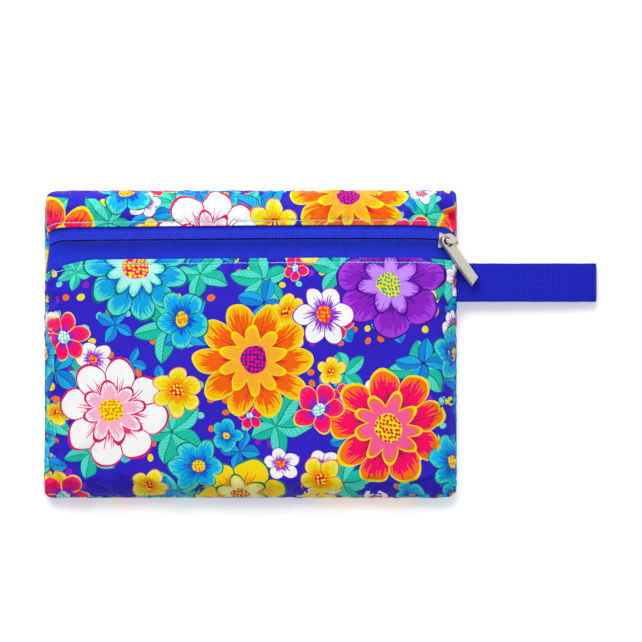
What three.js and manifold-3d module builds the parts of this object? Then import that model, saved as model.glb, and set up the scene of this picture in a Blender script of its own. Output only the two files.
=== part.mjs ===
// Foldable duffel bag stowed in its own zip pouch, lying on its back with the strap loop to the right.
// Millimetres, +Z up. The origin is the middle of the flat back, on the surface that the bag lies on.
import * as THREE from "three";
import { mergeVertices } from "three/addons/utils/BufferGeometryUtils.js";
import Module from "manifold-3d";

const wasm = await Module();
wasm.setup();
const { clamp, lerp, smoothstep, degToRad } = THREE.MathUtils;

// stuffed pouch
const pouchWidth = 260;
const pouchHeight = 194;
const crownHeight = 21; // front cloth over the stowed bag
const crownSwell = 2; // what the middle stands above that
const bellyHeight = 6.3; // widest line of the side wall
const seamHeight = 8.5; // side seam between front and back
const seamTuck = 0.6; // the seam lies this far inside the widest line
const shoulder = 15; // rounded edge of the front
const backRound = 10; // rounded edge of the back
const cornerRadius = 4;
const floorCorner = 12; // corner of the area that lies on the surface
const clothWall = 1.2;
const gap = 0.3; // clearance between neighbours

// zip
const zipHeight = 66.4; // slit, above the middle of the pouch
const zipDroop = 1.25; // the slit sinks toward the left end
const upperShow = 8.4; // tape that shows above the slit
const lowerShow = 12.1; // and below it
const lowerFan = 5.4; // at the left end the lower edge falls away this much more
const upperTuck = 3.6; // tape that runs on under the cloth above
const lowerTuck = 7; // and below
const tapeWall = 1;
const tapeDepth = clothWall + gap; // tape under the cloth
const tapeRidge = 0.9; // the coil lifts the tape along the slit
const slitHalf = 0.2;
const slitParted = 2.2; // half gap behind the slider
const zipDraw = 2.2; // the left end pulls the seam in
const zipLift = 3; // and up
const rampFoot = 0.74; // the slider holds the right end straight, as a ramp over an upright wall
const coilHalf = 2;
const coilTop = 2.25;
const coilWall = 1.6;

// slider and pull, in the slider's own frame with 0 on the tape
const sliderX = 123.9;
const wingWall = 1.1;
const legX = -1.3;
const legRadius = 1.1;
const bossTop = 1.7; // round seat under the pull's ring
const bailLow = 6.1;
const bailTop = 7.4;
const pullLength = 31.7; // from the leg
const pullWidth = 7.4;
const pullWall = 2.3;
const pullBevel = 0.6;
const pullShift = -0.6; // it hangs to one side of the leg
const pullHole = 1.9;
const pullHoleShift = -0.3;
const pullSlot = 1.7; // the hole is this much longer than wide
const pullMiddle = 3.75; // height of its middle at the leg
const pullTurn = -47; // degrees, as it lies
const pullRoll = -15; // its lower left edge is up

// webbing loop
const strapWidth = 24.2;
const strapY = 38.7;
const strapWall = 1.5;
const strapRoot = 128.1;
const strapEnd = 218.1;
const strapLow = 9.4; // middle of the lower layer where it leaves the seam
const strapHigh = 11.3;
const eyeRadius = 4;
const mouth = 3.7; // the seam opens this far over the strap

// stowed cloth
const layerCount = 6;
const layerWall = 2.2;
const layerPitch = 2.6;
const bundleHalfX = 112;
const bundleHalfY = 80;

const halfWide = pouchWidth / 2;
const halfHigh = pouchHeight / 2;

// dents and folds of the front cloth, each a soft groove from one point to another
const folds = [
  { name: "corner pleat", fromX: 116, fromY: 90, toX: 127, toY: 77, width: 3.4, depth: 2.8 },
  { name: "left zip pucker", fromX: -125, fromY: 80, toX: -108, toY: 84, width: 3, depth: 1.2 },
  { name: "lower left pull", fromX: -120, fromY: -86, toX: -100, toY: -68, width: 6, depth: 1.3 },
  { name: "lower right pull", fromX: 121, fromY: -86, toX: 102, toY: -70, width: 6, depth: 1.3 },
  { name: "right hollow", fromX: 40, fromY: -4, toX: 72, toY: -22, width: 24, depth: 1.4 },
  { name: "left hollow", fromX: -78, fromY: 22, toX: -52, toY: 6, width: 22, depth: 1 },
];

function foldDepth(x, y) {
  let sum = 0;
  for (const fold of folds) {
    const dx = fold.toX - fold.fromX;
    const dy = fold.toY - fold.fromY;
    const along = clamp(((x - fold.fromX) * dx + (y - fold.fromY) * dy) / (dx * dx + dy * dy), 0, 1);
    const away = Math.hypot(x - fold.fromX - along * dx, y - fold.fromY - along * dy);
    sum += fold.depth * Math.exp(-((away / fold.width) ** 2));
  }
  return sum;
}

function zipLine(x) {
  const right = clamp((x - 96) / 34, 0, 1.2);
  const left = clamp((-x - 114) / 14, 0, 1.2);
  const droop = clamp((60 - x) / 155, 0, 1.3);
  return zipHeight - 2.2 * right ** 2 - 3.9 * left ** 3 - zipDroop * droop ** 1.5;
}

function upperEdge(x) {
  return zipLine(x) + upperShow;
}

function lowerEdge(x) {
  return zipLine(x) - lowerShow - lowerFan * smoothstep(-x, 96, halfWide);
}

function zipPull(y) {
  return Math.exp(-(((y - zipHeight + 3) / 13) ** 2));
}

function seamInset(side, y) {
  return side < 0 ? seamTuck + zipDraw * zipPull(y) : seamTuck;
}

function seamLine(x, y) {
  return seamHeight + (x < 0 ? zipLift * zipPull(y) * smoothstep(-x, 0.8 * halfWide, halfWide) : 0);
}

function frontRim(x, y) {
  const open = 1 - smoothstep(Math.abs(y - strapY), strapWidth / 2 + 1.6, strapWidth / 2 + 4.6);
  return seamLine(x, y) + gap / 2 + mouth * open * smoothstep(x, 0.9 * halfWide, 0.97 * halfWide);
}

// stations across the pouch: rounded left edge, crown, rounded right edge
const edgeSteps = [0, 0.2, 0.4, 0.55, 0.7, 0.85];
const crownSteps = [0, 0.18, 0.37, 0.55, 0.72, 0.84, 0.93, 1];
const columns = [
  ...edgeSteps.map((q) => ({ side: -1, q })),
  ...crownSteps.toReversed().map((t) => ({ side: 0, t: -t })),
  ...crownSteps.slice(1).map((t) => ({ side: 0, t })),
  ...edgeSteps.toReversed().map((q) => ({ side: 1, q })),
];

function across(column, y, depth) {
  const left = depth - halfWide + seamInset(-1, y);
  const right = halfWide - seamInset(1, y) - depth;
  const round = shoulder - depth;
  if (column.side === 0) {
    return { x: lerp(left + round, right - round, (column.t + 1) / 2), rise: 1 };
  }
  const angle = (column.q * Math.PI) / 2;
  let run = 1 - Math.cos(angle);
  let rise = Math.sin(angle);
  if (column.side < 0) {
    return { x: left + round * run, rise };
  }
  const held = 1 - smoothstep(Math.abs(y - zipHeight + 2), 18, 31);
  const onRamp = (column.q - 0.4) / 0.6;
  run = lerp(run, onRamp < 0 ? 0.075 * column.q : lerp(0.03, 1, onRamp), held);
  rise = lerp(rise, onRamp < 0 ? (rampFoot * column.q) / 0.4 : lerp(rampFoot, 1, onRamp), held);
  return { x: right - round * run, rise };
}

function roundCorner(x, y) {
  const dx = Math.abs(x) - (halfWide - seamTuck - cornerRadius);
  const dy = Math.abs(y) - (halfHigh - seamTuck - cornerRadius);
  if (dx <= 0 || dy <= 0) {
    return [x, y];
  }
  const pull = 1 - Math.max(dx, dy) / Math.hypot(dx, dy);
  return [x - Math.sign(x) * dx * pull, y - Math.sign(y) * dy * pull];
}

// a point of the front, the given depth under its outer face
function frontPoint(column, y, depth) {
  const { x, rise } = across(column, y, depth);
  const inward = (halfHigh - seamTuck - depth - Math.abs(y)) / (shoulder - depth);
  const ends = Math.sqrt(1 - (1 - clamp(inward, 0, 1)) ** 2);
  const rim = frontRim(x, y);
  const swell = crownSwell * (1 - (x / halfWide) ** 2) * (1 - (y / halfHigh) ** 2);
  const z = rim + (crownHeight + swell - foldDepth(x, y) - depth - rim) * rise * ends;
  return new THREE.Vector3(...roundCorner(x, y), z);
}

function columnX(column) {
  return across(column, zipHeight, 0).x;
}

function geometryOf(points, faces) {
  const geometry = new THREE.BufferGeometry();
  geometry.setAttribute("position", new THREE.Float32BufferAttribute(points.flatMap((p) => p.toArray()), 3));
  geometry.setIndex(faces);
  geometry.computeVertexNormals();
  return geometry;
}

// closed sheet between an outer and an inner grid of points, rows toward +Y and columns toward +X
function sheet(outer, inner) {
  const rows = outer.length;
  const cols = outer[0].length;
  const points = [...outer.flat(), ...inner.flat()];
  const half = rows * cols;
  const faces = [];
  const quad = (a, b, c, d) => faces.push(a, b, c, a, c, d);
  for (let r = 0; r < rows - 1; r++) {
    for (let c = 0; c < cols - 1; c++) {
      const a = r * cols + c;
      quad(a, a + 1, a + cols + 1, a + cols);
      quad(half + a, half + a + cols, half + a + cols + 1, half + a + 1);
    }
  }
  const rim = [];
  for (let c = 0; c < cols - 1; c++) rim.push(c);
  for (let r = 0; r < rows - 1; r++) rim.push(r * cols + cols - 1);
  for (let c = cols - 1; c > 0; c--) rim.push((rows - 1) * cols + c);
  for (let r = rows - 1; r > 0; r--) rim.push(r * cols);
  rim.forEach((a, i) => {
    const b = rim[(i + 1) % rim.length];
    quad(a, half + a, half + b, b);
  });
  return geometryOf(points, faces);
}

function frontSheet(rowYs, across, topDepth, lowDepth) {
  const grid = (depthOf) =>
    rowYs.map((rowY) => across.map((column) => frontPoint(column, rowY(column, depthOf(0)), depthOf(column, rowY))));
  return sheet(grid(topDepth), grid(lowDepth));
}

// printed cloth above and below the zip
const edgeRows = edgeSteps.map((q) => 1 - Math.cos((q * Math.PI) / 2));
const crownEdge = halfHigh - seamTuck - shoulder;
const frontShares = [0, 0.1, 0.22, 0.35, 0.48, 0.6, 0.69, 0.745, 0.77, 0.795, 0.84, 0.89, 0.94, 0.982, 1];
const frontRows = [
  ...edgeRows.map((e) => (column, depth) => -crownEdge - (shoulder - depth) * (1 - e)),
  ...frontShares.map((s) => (column) => lerp(-crownEdge, lowerEdge(columnX(column)), s)),
];
const topRows = [
  ...[0, 0.35, 0.7].map((s) => (column) => lerp(upperEdge(columnX(column)), crownEdge, s)),
  () => crownEdge,
  ...edgeRows.toReversed().map((e) => (column, depth) => crownEdge + (shoulder - depth) * (1 - e)),
];

// the two tapes, lifted toward the slit
function slit(x) {
  const parted = smoothstep(x, 117, 122) * (1 - smoothstep(x, 127, 129.3));
  return lerp(slitHalf, slitParted, parted);
}

const tapeOffsets = [0, 0.1, 0.22, 0.42, 0.7, 1];
function tapeRows(side) {
  const reach = side > 0 ? upperShow + upperTuck : lowerShow + lowerTuck;
  const rows = tapeOffsets.map((share) => (column) => {
    const x = columnX(column);
    return zipLine(x) + side * lerp(slit(x), reach, share);
  });
  return side > 0 ? rows : rows.toReversed();
}

function tapeSheet(side) {
  const depthUnder = (extra) => (column, rowY) => {
    if (!rowY) {
      return tapeDepth + extra;
    }
    const off = rowY(column) - zipLine(columnX(column));
    return tapeDepth + extra - tapeRidge * Math.exp(-((off / 3) ** 2));
  };
  return frontSheet(tapeRows(side), columns, depthUnder(0), depthUnder(tapeWall));
}

// closed coil under the slit, from the left edge to inside the slider
const coilColumns = columns.filter((c) => !(c.side < 0 && c.q < 0.5) && !(c.side > 0 && c.q < 0.65));
const coilRows = [-1, 0, 1].map((s) => (column) => zipLine(columnX(column)) + s * coilHalf);

// rounded rectangle as a loop of points, counter-clockwise from above
const sideSteps = [0, 0.25, 0.5, 0.75];
const uprightSteps = [0, 0.12, 0.24, 0.36, 0.48, 0.6, 0.7, 0.76, 0.82, 0.88, 0.94];
const cornerSteps = [0, 0.25, 0.5, 0.75];
function ring(inset, radius, draw, height) {
  const cx = halfWide - inset - radius;
  const cy = halfHigh - inset - radius;
  const loop = [];
  const corners = [
    { sx: 1, sy: -1, from: -90, steps: uprightSteps, ex: 0, ey: 2 },
    { sx: 1, sy: 1, from: 0, steps: sideSteps, ex: -2, ey: 0 },
    { sx: -1, sy: 1, from: 90, steps: uprightSteps.map((s) => 1 - s).toReversed(), ex: 0, ey: -2 },
    { sx: -1, sy: -1, from: 180, steps: sideSteps, ex: 2, ey: 0 },
  ];
  for (const corner of corners) {
    for (const s of cornerSteps) {
      const angle = degToRad(corner.from + 90 * s);
      loop.push([corner.sx * cx + radius * Math.cos(angle), corner.sy * cy + radius * Math.sin(angle)]);
    }
    const end = degToRad(corner.from + 90);
    const x = corner.sx * cx + radius * Math.cos(end);
    const y = corner.sy * cy + radius * Math.sin(end);
    for (const s of corner.steps) {
      loop.push([x + corner.ex * cx * Math.min(s, 0.995), y + corner.ey * cy * Math.min(s, 0.995)]);
    }
  }
  return loop.map(([x, y]) => {
    const moved = x < 0 ? x + draw * zipDraw * zipPull(y) * smoothstep(-x, 0.9 * halfWide, halfWide) : x;
    return new THREE.Vector3(moved, y, height(x, y));
  });
}

// back cloth: flat where it lies, rounded up to the widest line and in to the seam
function backLoops(wall) {
  const rim = (x, y) => seamLine(x, y) - gap / 2;
  const loops = [
    ring(seamTuck + wall, cornerRadius - wall / 2, 1, rim),
    ring(0.3 * seamTuck + wall, cornerRadius - wall / 2, 0.3, (x, y) => lerp(bellyHeight, rim(x, y), 0.7)),
    ring(wall, cornerRadius - wall / 2, 0, () => bellyHeight),
  ];
  for (const q of [0.25, 0.5, 0.75, 1]) {
    const angle = (q * Math.PI) / 2;
    const inset = wall + (backRound - wall) * (1 - Math.cos(angle));
    const z = wall + (bellyHeight - wall) * (1 - Math.sin(angle));
    loops.push(ring(inset, lerp(cornerRadius, floorCorner, q), 0, () => z));
  }
  return loops;
}

function tray(outer, inner) {
  const count = outer[0].length;
  const loops = [...outer, ...inner.toReversed()];
  const faces = [];
  for (let k = 0; k < loops.length; k++) {
    if (k === outer.length - 1) {
      continue;
    }
    const below = ((k + 1) % loops.length) * count;
    for (let i = 0; i < count; i++) {
      const j = (i + 1) % count;
      faces.push(k * count + i, below + i, below + j, k * count + i, below + j, k * count + j);
    }
  }
  const floorStart = (outer.length - 1) * count;
  const flat = outer.at(-1).map((p) => new THREE.Vector2(p.x, p.y));
  for (const [a, b, c] of THREE.ShapeUtils.triangulateShape(flat, [])) {
    faces.push(floorStart + a, floorStart + c, floorStart + b);
    faces.push(floorStart + count + a, floorStart + count + b, floorStart + count + c);
  }
  return geometryOf(loops.flat(), faces);
}

// outline of a band of even thickness along a line of points
function band(line, wall) {
  const sideways = line.map((p, i) => {
    const step = line[Math.min(i + 1, line.length - 1)].clone().sub(line[Math.max(i - 1, 0)]).normalize();
    return new THREE.Vector2(-step.y, step.x).multiplyScalar(wall / 2);
  });
  const one = line.map((p, i) => p.clone().add(sideways[i]));
  const other = line.map((p, i) => p.clone().sub(sideways[i]));
  return new THREE.Shape([...one, ...other.toReversed()]);
}

function strapLine() {
  const turnX = strapEnd - strapWall / 2 - eyeRadius;
  const low = strapWall / 2;
  const line = [];
  for (let i = 0; i <= 14; i++) {
    const s = i / 14;
    line.push(new THREE.Vector2(lerp(strapRoot, turnX, s), lerp(strapHigh, low + 2 * eyeRadius, s * s)));
  }
  for (let i = 1; i < 10; i++) {
    const angle = Math.PI * (0.5 - i / 10);
    line.push(new THREE.Vector2(turnX + eyeRadius * Math.cos(angle), low + eyeRadius * (1 + Math.sin(angle))));
  }
  for (let i = 20; i >= 0; i--) {
    const s = i / 20;
    line.push(new THREE.Vector2(lerp(strapRoot, turnX, s), lerp(strapLow, low, smoothstep(s, 0.08, 0.75))));
  }
  return line;
}

function foldLine() {
  const line = [];
  for (let k = 0; k < layerCount; k++) {
    const side = k % 2 === 0 ? 1 : -1;
    const z = clothWall + gap + layerWall / 2 + k * layerPitch;
    line.push(new THREE.Vector2(-side * bundleHalfY, z), new THREE.Vector2(side * bundleHalfY, z));
    if (k < layerCount - 1) {
      for (let i = 1; i < 6; i++) {
        const angle = Math.PI * (i / 6 - 0.5);
        const y = side * (bundleHalfY + (layerPitch / 2) * Math.cos(angle));
        line.push(new THREE.Vector2(y, z + (layerPitch / 2) * (1 + Math.sin(angle))));
      }
    }
  }
  return line;
}

// solids of the slider
function solid(geometry) {
  geometry.deleteAttribute("normal");
  geometry.deleteAttribute("uv");
  const merged = mergeVertices(geometry, 1e-4);
  const vertProperties = new Float32Array(merged.attributes.position.array);
  const triVerts = new Uint32Array(merged.index.array);
  return new wasm.Manifold(new wasm.Mesh({ numProp: 3, vertProperties, triVerts }));
}

function geometryFrom(manifold) {
  const mesh = manifold.getMesh();
  const geometry = new THREE.BufferGeometry();
  geometry.setAttribute("position", new THREE.BufferAttribute(mesh.vertProperties, 3));
  geometry.setIndex(new THREE.BufferAttribute(mesh.triVerts, 1));
  geometry.computeVertexNormals();
  return geometry;
}

function plate(shape, low, high, bevel) {
  const geometry = new THREE.ExtrudeGeometry(shape, {
    depth: high - low - 2 * bevel,
    bevelEnabled: bevel > 0,
    bevelThickness: bevel,
    bevelSize: bevel,
    bevelOffset: -bevel,
    bevelSegments: 2,
    curveSegments: 10,
  });
  return geometry.translate(0, 0, low + bevel);
}

// half widths of the slider's wing from its tail to its nose
const wingRows = [
  { x: -6.1, half: 4.2 },
  { x: -5.8, half: 4.7 },
  { x: -4.7, half: 4.7 },
  { x: -3.2, half: 4.1 },
  { x: -1.2, half: 4.6 },
  { x: 0.6, half: 5 },
  { x: 2, half: 4.7 },
  { x: 4.6, half: 3.1 },
  { x: 6, half: 2.2 },
  { x: 6.5, half: 1.3 },
];
// and of the bail
const bailRows = [
  { x: -3.05, half: 0.8 },
  { x: -2.7, half: 1.3 },
  { x: -2, half: 1.6 },
  { x: -1, half: 1.7 },
  { x: 0.6, half: 1.6 },
  { x: 2.4, half: 1.4 },
  { x: 5.6, half: 1 },
  { x: 6.9, half: 0.75 },
];
// bail from the side: bar, nose and forward leg
const bailSide = [
  [-3.2, bailLow],
  [-3.2, bailLow + 0.7],
  [-2.2, bailTop],
  [2.6, bailTop],
  [4.8, bailTop - 0.6],
  [6.2, 5.3],
  [6.8, 3.6],
  [6.6, 1.2],
  [5.3, 1.2],
  [5.3, 4.2],
  [4.6, 5.3],
  [3.4, bailLow],
];

function outlineOf(rows) {
  const upper = rows.map((row) => new THREE.Vector2(row.x, row.half));
  const lower = rows.map((row) => new THREE.Vector2(row.x, -row.half));
  return new THREE.Shape([...lower, ...upper.toReversed()]);
}

function block(x0, x1, y0, y1, z0, z1) {
  const box = new THREE.BoxGeometry(x1 - x0, y1 - y0, z1 - z0);
  return box.translate((x0 + x1) / 2, (y0 + y1) / 2, (z0 + z1) / 2);
}

function post(radius, low, high) {
  const cylinder = new THREE.CylinderGeometry(radius, radius, high - low, 20);
  return cylinder.rotateX(Math.PI / 2).translate(legX, 0, (low + high) / 2);
}

function sliderSolid() {
  const side = new THREE.Shape(bailSide.map(([x, z]) => new THREE.Vector2(x, z)));
  const arch = new THREE.ExtrudeGeometry(side, { depth: 5, bevelEnabled: false });
  arch.rotateX(Math.PI / 2).translate(0, 2.5, 0);
  const bail = solid(arch).intersect(solid(plate(outlineOf(bailRows), 1, bailTop + 1, 0)));
  const diamond = new THREE.Shape([
    new THREE.Vector2(-1.3, 0),
    new THREE.Vector2(0, -1.6),
    new THREE.Vector2(1.6, -1.2),
    new THREE.Vector2(1.6, 1.2),
    new THREE.Vector2(0, 1.6),
  ]);
  const underTape = -coilTop - coilWall + tapeDepth - tapeRidge - gap;
  return solid(plate(outlineOf(wingRows), gap, gap + wingWall, 0.2))
    .add(solid(post(2.5, 1.2, bossTop)))
    .add(solid(post(legRadius, 1.2, bailLow + 0.4)))
    .add(bail)
    .add(solid(plate(diamond, underTape - 0.5, gap + 0.5, 0)))
    .add(solid(block(-6.1, 1.8, -4.4, 4.4, underTape - 1, underTape)))
    .add(solid(block(-5.6, 1.5, 3.4, 4.4, underTape - 0.2, underTape + 1.4)))
    .add(solid(block(-5.6, 1.5, -4.4, -3.4, underTape - 0.2, underTape + 1.4)));
}

function pullShape() {
  const half = pullWidth / 2;
  const low = pullShift - half;
  const high = pullShift + half;
  const shape = new THREE.Shape();
  shape.moveTo(0, low);
  shape.lineTo(pullLength - 0.7, low);
  shape.lineTo(pullLength, low + 0.7);
  shape.lineTo(pullLength, high - 0.7);
  shape.lineTo(pullLength - 0.7, high);
  shape.lineTo(0, high);
  shape.absarc(0, pullShift, half, Math.PI / 2, 1.5 * Math.PI, false);
  const hole = new THREE.Path();
  hole.absarc(pullSlot, pullHoleShift, pullHole, Math.PI / 2, -Math.PI / 2, true);
  hole.absarc(0, pullHoleShift, pullHole, -Math.PI / 2, -1.5 * Math.PI, true);
  shape.holes.push(hole);
  return shape;
}

function piece(name, geometry, color, roughness, metalness) {
  const mesh = new THREE.Mesh(geometry, new THREE.MeshStandardMaterial({ color, roughness, metalness }));
  mesh.name = name;
  return mesh;
}

const bag = new THREE.Group();
bag.name = "stowed_duffel_bag";

const evenDepth = (depth) => () => depth;
bag.add(piece("front_panel", frontSheet(frontRows, columns, evenDepth(0), evenDepth(clothWall)), 0x6a3ab8, 0.55, 0));
bag.add(piece("top_panel", frontSheet(topRows, columns, evenDepth(0), evenDepth(clothWall)), 0x7a48b4, 0.55, 0));
bag.add(piece("back_panel", tray(backLoops(0), backLoops(clothWall)), 0x5a3aae, 0.55, 0));
bag.add(piece("zip_tape_upper", tapeSheet(1), 0x2d3dd4, 0.8, 0));
bag.add(piece("zip_tape_lower", tapeSheet(-1), 0x2133b7, 0.8, 0));
const coil = frontSheet(coilRows, coilColumns, evenDepth(coilTop), evenDepth(coilTop + coilWall));
bag.add(piece("zip_coil", coil, 0x1a2690, 0.5, 0));

const strap = new THREE.ExtrudeGeometry(band(strapLine(), strapWall), { depth: strapWidth, bevelEnabled: false });
strap.rotateX(Math.PI / 2).translate(0, strapY + strapWidth / 2, 0);
bag.add(piece("strap_loop", strap, 0x1e25b9, 0.85, 0));

const stowed = new THREE.ExtrudeGeometry(band(foldLine(), layerWall), { depth: 2 * bundleHalfX, bevelEnabled: false });
stowed.applyMatrix4(new THREE.Matrix4().set(0, 0, 1, -bundleHalfX, 1, 0, 0, 0, 0, 1, 0, 0, 0, 0, 0, 1));
bag.add(piece("folded_body", stowed, 0x6a3ab8, 0.6, 0));

// slider on the straight right end of the zip
const tail = frontPoint({ side: 1, q: 0.85 }, zipLine(118), tapeDepth - tapeRidge);
const nose = frontPoint({ side: 1, q: 0.55 }, zipLine(126), tapeDepth - tapeRidge);
const run = nose.clone().sub(tail);
const seat = tail.clone().addScaledVector(run, (sliderX - tail.x) / run.x);
const tilt = Math.atan2(-run.z, Math.hypot(run.x, run.y));
const sliderGroup = new THREE.Group();
sliderGroup.position.copy(seat);
sliderGroup.rotation.set(0, tilt, Math.atan2(run.y, run.x), "ZYX");
sliderGroup.add(piece("zip_slider", geometryFrom(sliderSolid()), 0xd4d2c8, 0.3, 1));
const pullGroup = new THREE.Group();
pullGroup.position.set(legX, 0, 0);
pullGroup.rotation.z = degToRad(pullTurn);
const bar = plate(pullShape(), -pullWall / 2, pullWall / 2, pullBevel);
bar.rotateX(degToRad(pullRoll)).translate(0, 0, pullMiddle);
pullGroup.add(piece("pull_tab", bar, 0xd4d2c8, 0.28, 1));
sliderGroup.add(pullGroup);
bag.add(sliderGroup);

export default bag;
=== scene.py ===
import math
import bpy
import numpy as np
from functools import partial
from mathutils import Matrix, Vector


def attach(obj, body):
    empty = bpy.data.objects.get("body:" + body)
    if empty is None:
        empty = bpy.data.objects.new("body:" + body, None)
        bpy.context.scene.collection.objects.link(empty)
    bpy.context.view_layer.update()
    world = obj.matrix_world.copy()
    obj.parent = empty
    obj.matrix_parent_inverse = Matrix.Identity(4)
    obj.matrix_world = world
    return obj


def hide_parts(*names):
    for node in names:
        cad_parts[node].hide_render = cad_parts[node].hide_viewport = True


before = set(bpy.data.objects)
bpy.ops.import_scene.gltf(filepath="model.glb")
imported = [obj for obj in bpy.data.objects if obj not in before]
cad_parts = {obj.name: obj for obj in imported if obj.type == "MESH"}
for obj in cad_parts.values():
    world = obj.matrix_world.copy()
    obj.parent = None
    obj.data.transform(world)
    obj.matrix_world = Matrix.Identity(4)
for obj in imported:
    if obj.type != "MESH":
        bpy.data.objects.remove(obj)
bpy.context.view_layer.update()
scene = bpy.context.scene
dice = np.random.default_rng(11)
fullTurn = 2 * math.pi
print("frame loaded")


# small tools

def srgb(hexColour):
    parts = [int(hexColour[i:i + 2], 16) / 255 for i in (1, 3, 5)]
    return [c / 12.92 if c <= 0.04045 else ((c + 0.055) / 1.055) ** 2.4 for c in parts] + [1.0]


# adds a node by its kind and operation, sets its properties, then fills its sockets in order or by name
def addNode(tree, kind, *values, sockets=None, **settings):
    kind, _, operation = kind.partition(" ")
    node = tree.nodes.new("ShaderNode" + kind)
    if operation:
        node.operation = operation
    for name, value in settings.items():
        setattr(node, name, value)
    pairs = list(zip(node.inputs, values))
    pairs += [(node.inputs[name], value) for name, value in (sockets or {}).items()]
    for socket, value in pairs:
        if isinstance(value, bpy.types.Node):
            value = value.outputs[0]
        if isinstance(value, bpy.types.NodeSocket):
            tree.links.new(value, socket)
        else:
            socket.default_value = value
    return node


def newMaterial(name):
    material = bpy.data.materials.new(name)
    material.use_nodes = True
    return material, partial(addNode, material.node_tree)


# links colour, roughness and relief to the shader, and sets the sockets that are even all over
def finishShader(material, paint, roughBy, height, look):
    tree = material.node_tree
    shader = tree.nodes["Principled BSDF"]
    low, spread = look["rough"]
    rough = addNode(tree, "Math MULTIPLY_ADD", roughBy, spread, low)
    depth, strength = look["relief"]
    bump = addNode(tree, "Bump", sockets={"Strength": strength, "Distance": depth * 0.001, "Height": height})
    for node, socket in ((paint, "Base Color"), (rough, "Roughness"), (bump, "Normal")):
        tree.links.new(node.outputs[0], shader.inputs[socket])
    for socket, value in look["even"].items():
        shader.inputs[socket].default_value = value
    return material


def smooth(x, low, high):
    t = np.clip((x - low) / (high - low), 0, 1)
    return t * t * (3 - 2 * t)


def mix(a, b, t):
    return a + (b - a) * t


# bell shaped share: 1 in the middle, almost nothing at twice the reach
def near(distance, reach):
    return np.exp(-(distance / reach) ** 2)


def unit(vectors):
    return vectors / np.maximum(np.linalg.norm(vectors, axis=-1, keepdims=True), 1e-9)


def stacked(*grids):
    return np.concatenate([grid.reshape(-1, grid.shape[-1]) for grid in grids])


# lengths along a line from its start, and its points at given lengths
def lengthsAlong(line):
    return np.concatenate([[0], np.cumsum(np.linalg.norm(np.diff(line, axis=0), axis=1))])


def pointsAt(at, lengths, line):
    return np.stack([np.interp(at, lengths, column) for column in line.T], -1)


# unit vectors to the left of a line, in its own plane
def leftOf(line):
    ahead = unit(np.gradient(line, axis=0))
    return np.stack([-ahead[:, 1], ahead[:, 0]], 1)


# a line widened to a band, moved to its left by an offset for each place across
def bandAt(line, offset):
    return np.moveaxis(line[:, None] + leftOf(line)[:, None] * offset[..., None], -1, 0)


# points are in millimetres here and metres in the mesh
def meshOf(name, points, faces):
    mesh = bpy.data.meshes.new(name)
    mesh.from_pydata((points * 0.001).tolist(), [], [list(map(int, face)) for face in faces])
    return mesh


def makePiece(name, points, faces, maps, material, slot, body="bag"):
    mesh = meshOf(name, points, faces)
    mesh.polygons.foreach_set("use_smooth", [True] * len(mesh.polygons))
    if maps is not None:
        layer = mesh.uv_layers.new(name="clothMap")
        corner = np.empty(len(mesh.loops), np.int32)
        mesh.loops.foreach_get("vertex_index", corner)
        layer.uv.foreach_set("vector", np.asarray(maps, np.float32)[corner].ravel())
    mesh.materials.append(material)
    mesh.validate()
    piece = bpy.data.objects.new(name, mesh)
    scene.collection.objects.link(piece)
    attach(piece, body)
    return piece


def gridFaces(rows, cols):
    r, c = np.meshgrid(np.arange(rows - 1), np.arange(cols - 1), indexing="ij")
    a = (r * cols + c).ravel()
    return np.stack([a, a + 1, a + cols + 1, a + cols], 1)


def gridNormals(grid):
    return unit(np.cross(np.gradient(grid, axis=1), np.gradient(grid, axis=0)))


# points of a grid between its rows and columns
def sampled(grid, row, col):
    row = np.clip(row, 0, grid.shape[0] - 1.001)
    col = np.clip(col, 0, grid.shape[1] - 1.001)
    r, c = np.floor(row).astype(int), np.floor(col).astype(int)
    fr, fc = (row - r)[..., None], (col - c)[..., None]
    return mix(mix(grid[r, c], grid[r, c + 1], fc), mix(grid[r + 1, c], grid[r + 1, c + 1], fc), fr)


# closed cloth sheet: outer rows, then inner rows going back, joined all round
def sheetOf(outer, inner, outerMap, innerMap):
    rows, cols = outer.shape[:2]
    under = inner.shape[0]
    total = rows + under
    last = (total - 1) * cols
    c = np.arange(cols - 1)
    faces = [*gridFaces(total, cols), *np.stack([last + c, last + c + 1, c + 1, c], 1)]
    # the ends: both layers side by side, each inner row beside its nearest outer one
    top = np.arange(rows) * cols
    low = (total - 1 - np.round(np.linspace(0, under - 1, rows)).astype(int)) * cols
    for col, step in ((0, -1), (cols - 1, 1)):
        for i in range(rows - 1):
            corners = [top[i], low[i], low[i + 1], top[i + 1]]
            if low[i] == low[i + 1]:
                corners.pop(2)
            faces.append((np.array(corners) + col)[::step])
    return stacked(outer, inner[::-1]), faces, stacked(outerMap, innerMap[::-1])


# shape of the stuffed pouch, close to that of the solids, in millimetres

pouch = dict(halfWide=130.0, halfHigh=97.0, crown=21.0, swell=2.0, belly=6.3, seam=8.5, seamGap=0.15,
             tuck=0.6, shoulder=15.0, backRound=10.0, corner=4.0, floorCorner=12.0, cloth=1.0)
# line and depth of the zip, and how its left end draws in the side and lifts the seam
zipRun = dict(line=66.4, depth=0.6, wall=0.8, draw=2.2, drawBelow=3.0, drawReach=13.0, lift=3.0,
              liftFrom=104.0)
# bends of that line: side, start, reach, most share, drop, power
zipBends = [(1, 96, 34, 1.2, 2.2, 2), (-1, 114, 14, 1.2, 3.9, 3), (-1, -60, 155, 1.3, 1.25, 1.5)]
# its right end, a steep wall and then a slope with a heel between them
zipEnd = dict(below=2.0, reach=(18.0, 31.0), split=0.4, wallRun=0.03, wallRise=0.74, heel=0.035,
              heelReach=0.12)
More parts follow.
